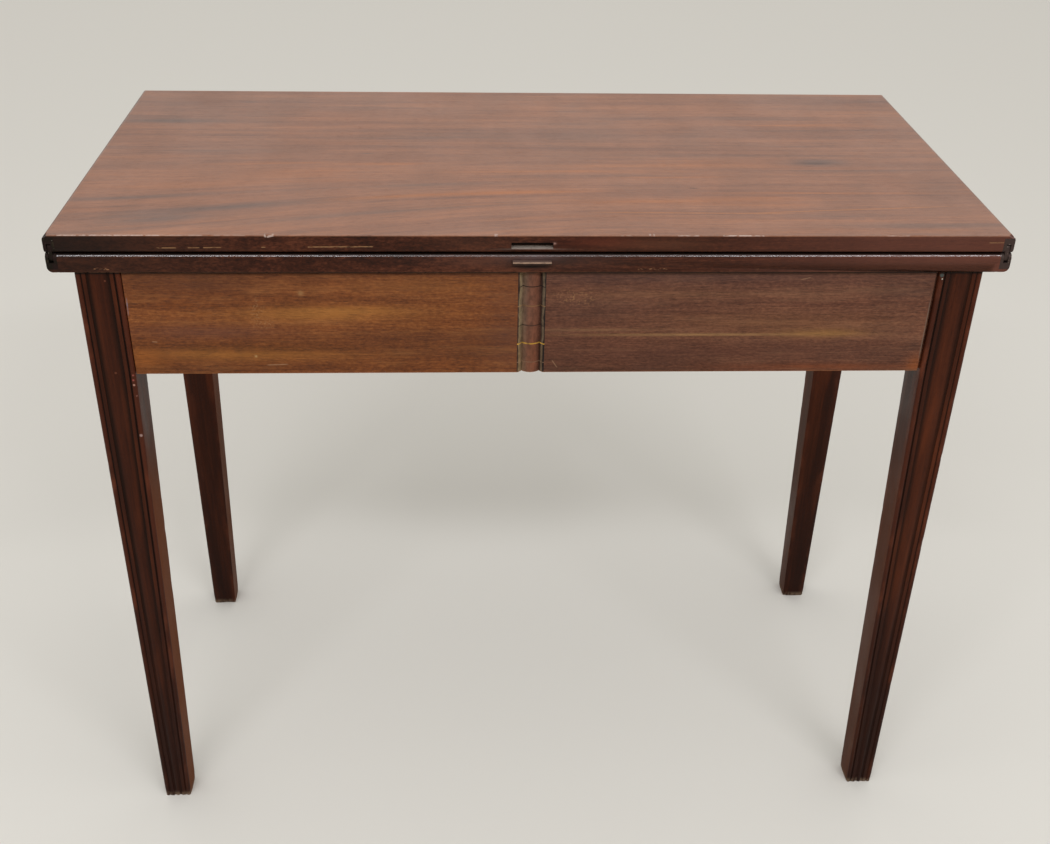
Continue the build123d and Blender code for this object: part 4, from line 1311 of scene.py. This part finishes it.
screwGrower, screwKeys = screwTree()
for nodeName, pieceName, body, finish in screwSets:
    places, sizes = screwPlaces(nodeName)
    mesh = pointMesh(pieceName + " places", [head for head, axis in places],
                     {"axis": [axis for head, axis in places]})
    piece = grownPiece(pieceName, mesh, screwGrower, screwKeys,
                       {**sizes, **screwShape, "Finish": finishes[finish]})
    if not piece.data.polygons:
        raise SystemExit(pieceName + " came out empty")
    smoothed(piece, 40)
    placed(piece, body, finishes[finish], nodeName)
    print(pieceName, "made:", len(places), "screws,", len(piece.data.polygons), "faces")


# Floor, light and camera
studio = {
    "floor": (208, 188, 158),
    "seenFloor": (217, 213, 205),
    "zenith": (255, 255, 255),
    "horizon": (206, 205, 200),
    "lampColour": (0.93, 0.95, 1),
    "lampDepth": 0.18,
    # strip lights: place, width and power
    "lamps": [((-0.95, -2.3, 2.75), 1.25, 25), ((1.2, -2.3, 2.75), 1.25, 25),
              ((0.125, -2.3, 2.75), 0.9, 6)],
    "lampsAim": (0, -0.2, 0.7),
}


def makeStudio():
    mesh = bpy.data.meshes.new("floor")
    reach = 12
    mesh.from_pydata([(-reach, -reach, 0), (reach, -reach, 0), (reach, reach, 0), (-reach, reach, 0)], [],
                     [(0, 1, 2, 3)])
    floor = linked("floor", mesh)
    material, g, shader = newWood("pale floor")
    rays = g.add("ShaderNodeLightPath").outputs
    seen = g.calc("MAXIMUM", rays["Is Camera Ray"], rays["Is Glossy Ray"])
    seen = g.calc("MAXIMUM", seen, rays["Is Transmission Ray"])
    g.put(shader.inputs["Base Color"], g.mix(seen, paint(*studio["floor"]), paint(*studio["seenFloor"])))
    shader.inputs["Roughness"].default_value = 0.9
    shader.inputs["Specular IOR Level"].default_value = 0.2
    mesh.materials.append(material)

    world = bpy.data.worlds.new("soft studio")
    bpy.context.scene.world = world
    world.use_nodes = True
    g = Sketch(world.node_tree)
    up = g.split(g.get("ShaderNodeTexCoord", out="Generated"))[2]
    sky = g.mix(g.span(up, 0.45, 0.85), paint(*studio["horizon"]), paint(*studio["zenith"]))
    g.put(world.node_tree.nodes["Background"].inputs["Color"], sky)

    for number, (place, width, power) in enumerate(studio["lamps"]):
        name = "strip light %d" % (number + 1)
        lamp = bpy.data.lights.new(name, "AREA")
        lamp.shape = "RECTANGLE"
        lamp.size, lamp.size_y = width, studio["lampDepth"]
        lamp.energy = power
        lamp.color = studio["lampColour"]
        holder = linked(name, lamp)
        holder.location = place
        aim = Vector(studio["lampsAim"]) - Vector(place)
        holder.rotation_euler = aim.to_track_quat("-Z", "Y").to_euler()


# Where the photograph was taken from, with a lens that spans it
view = {
    "at": (-70.9 * mm, -1338.6 * mm, 1208.1 * mm),
    "pitch": 0.54425,
    "yaw": -0.05642,
    "roll": -0.02303,
    "focalPixels": 1286.1,
    "imageWidth": 1050,
}


def makeCamera():
    camera = bpy.data.cameras.new("camera")
    camera.sensor_width = 36.0
    camera.lens = view["focalPixels"] / view["imageWidth"] * camera.sensor_width
    camera.clip_start = 0.01
    holder = linked("camera", camera)
    yaw, pitch, roll = view["yaw"], view["pitch"], view["roll"]
    level = Vector((-math.sin(yaw), math.cos(yaw), 0))
    right = Vector((math.cos(yaw), math.sin(yaw), 0))
    forward = level * math.cos(pitch) - Vector((0, 0, math.sin(pitch)))
    up = level * math.sin(pitch) + Vector((0, 0, math.cos(pitch)))
    imageRight = right * math.cos(roll) - up * math.sin(roll)
    imageUp = right * math.sin(roll) + up * math.cos(roll)
    turn = Matrix((imageRight, imageUp, -forward)).transposed().to_4x4()
    holder.matrix_world = Matrix.Translation(view["at"]) @ turn
    bpy.context.scene.camera = holder


makeStudio()
makeCamera()
bpy.context.scene.view_settings.view_transform = "Standard"

print("stage set")
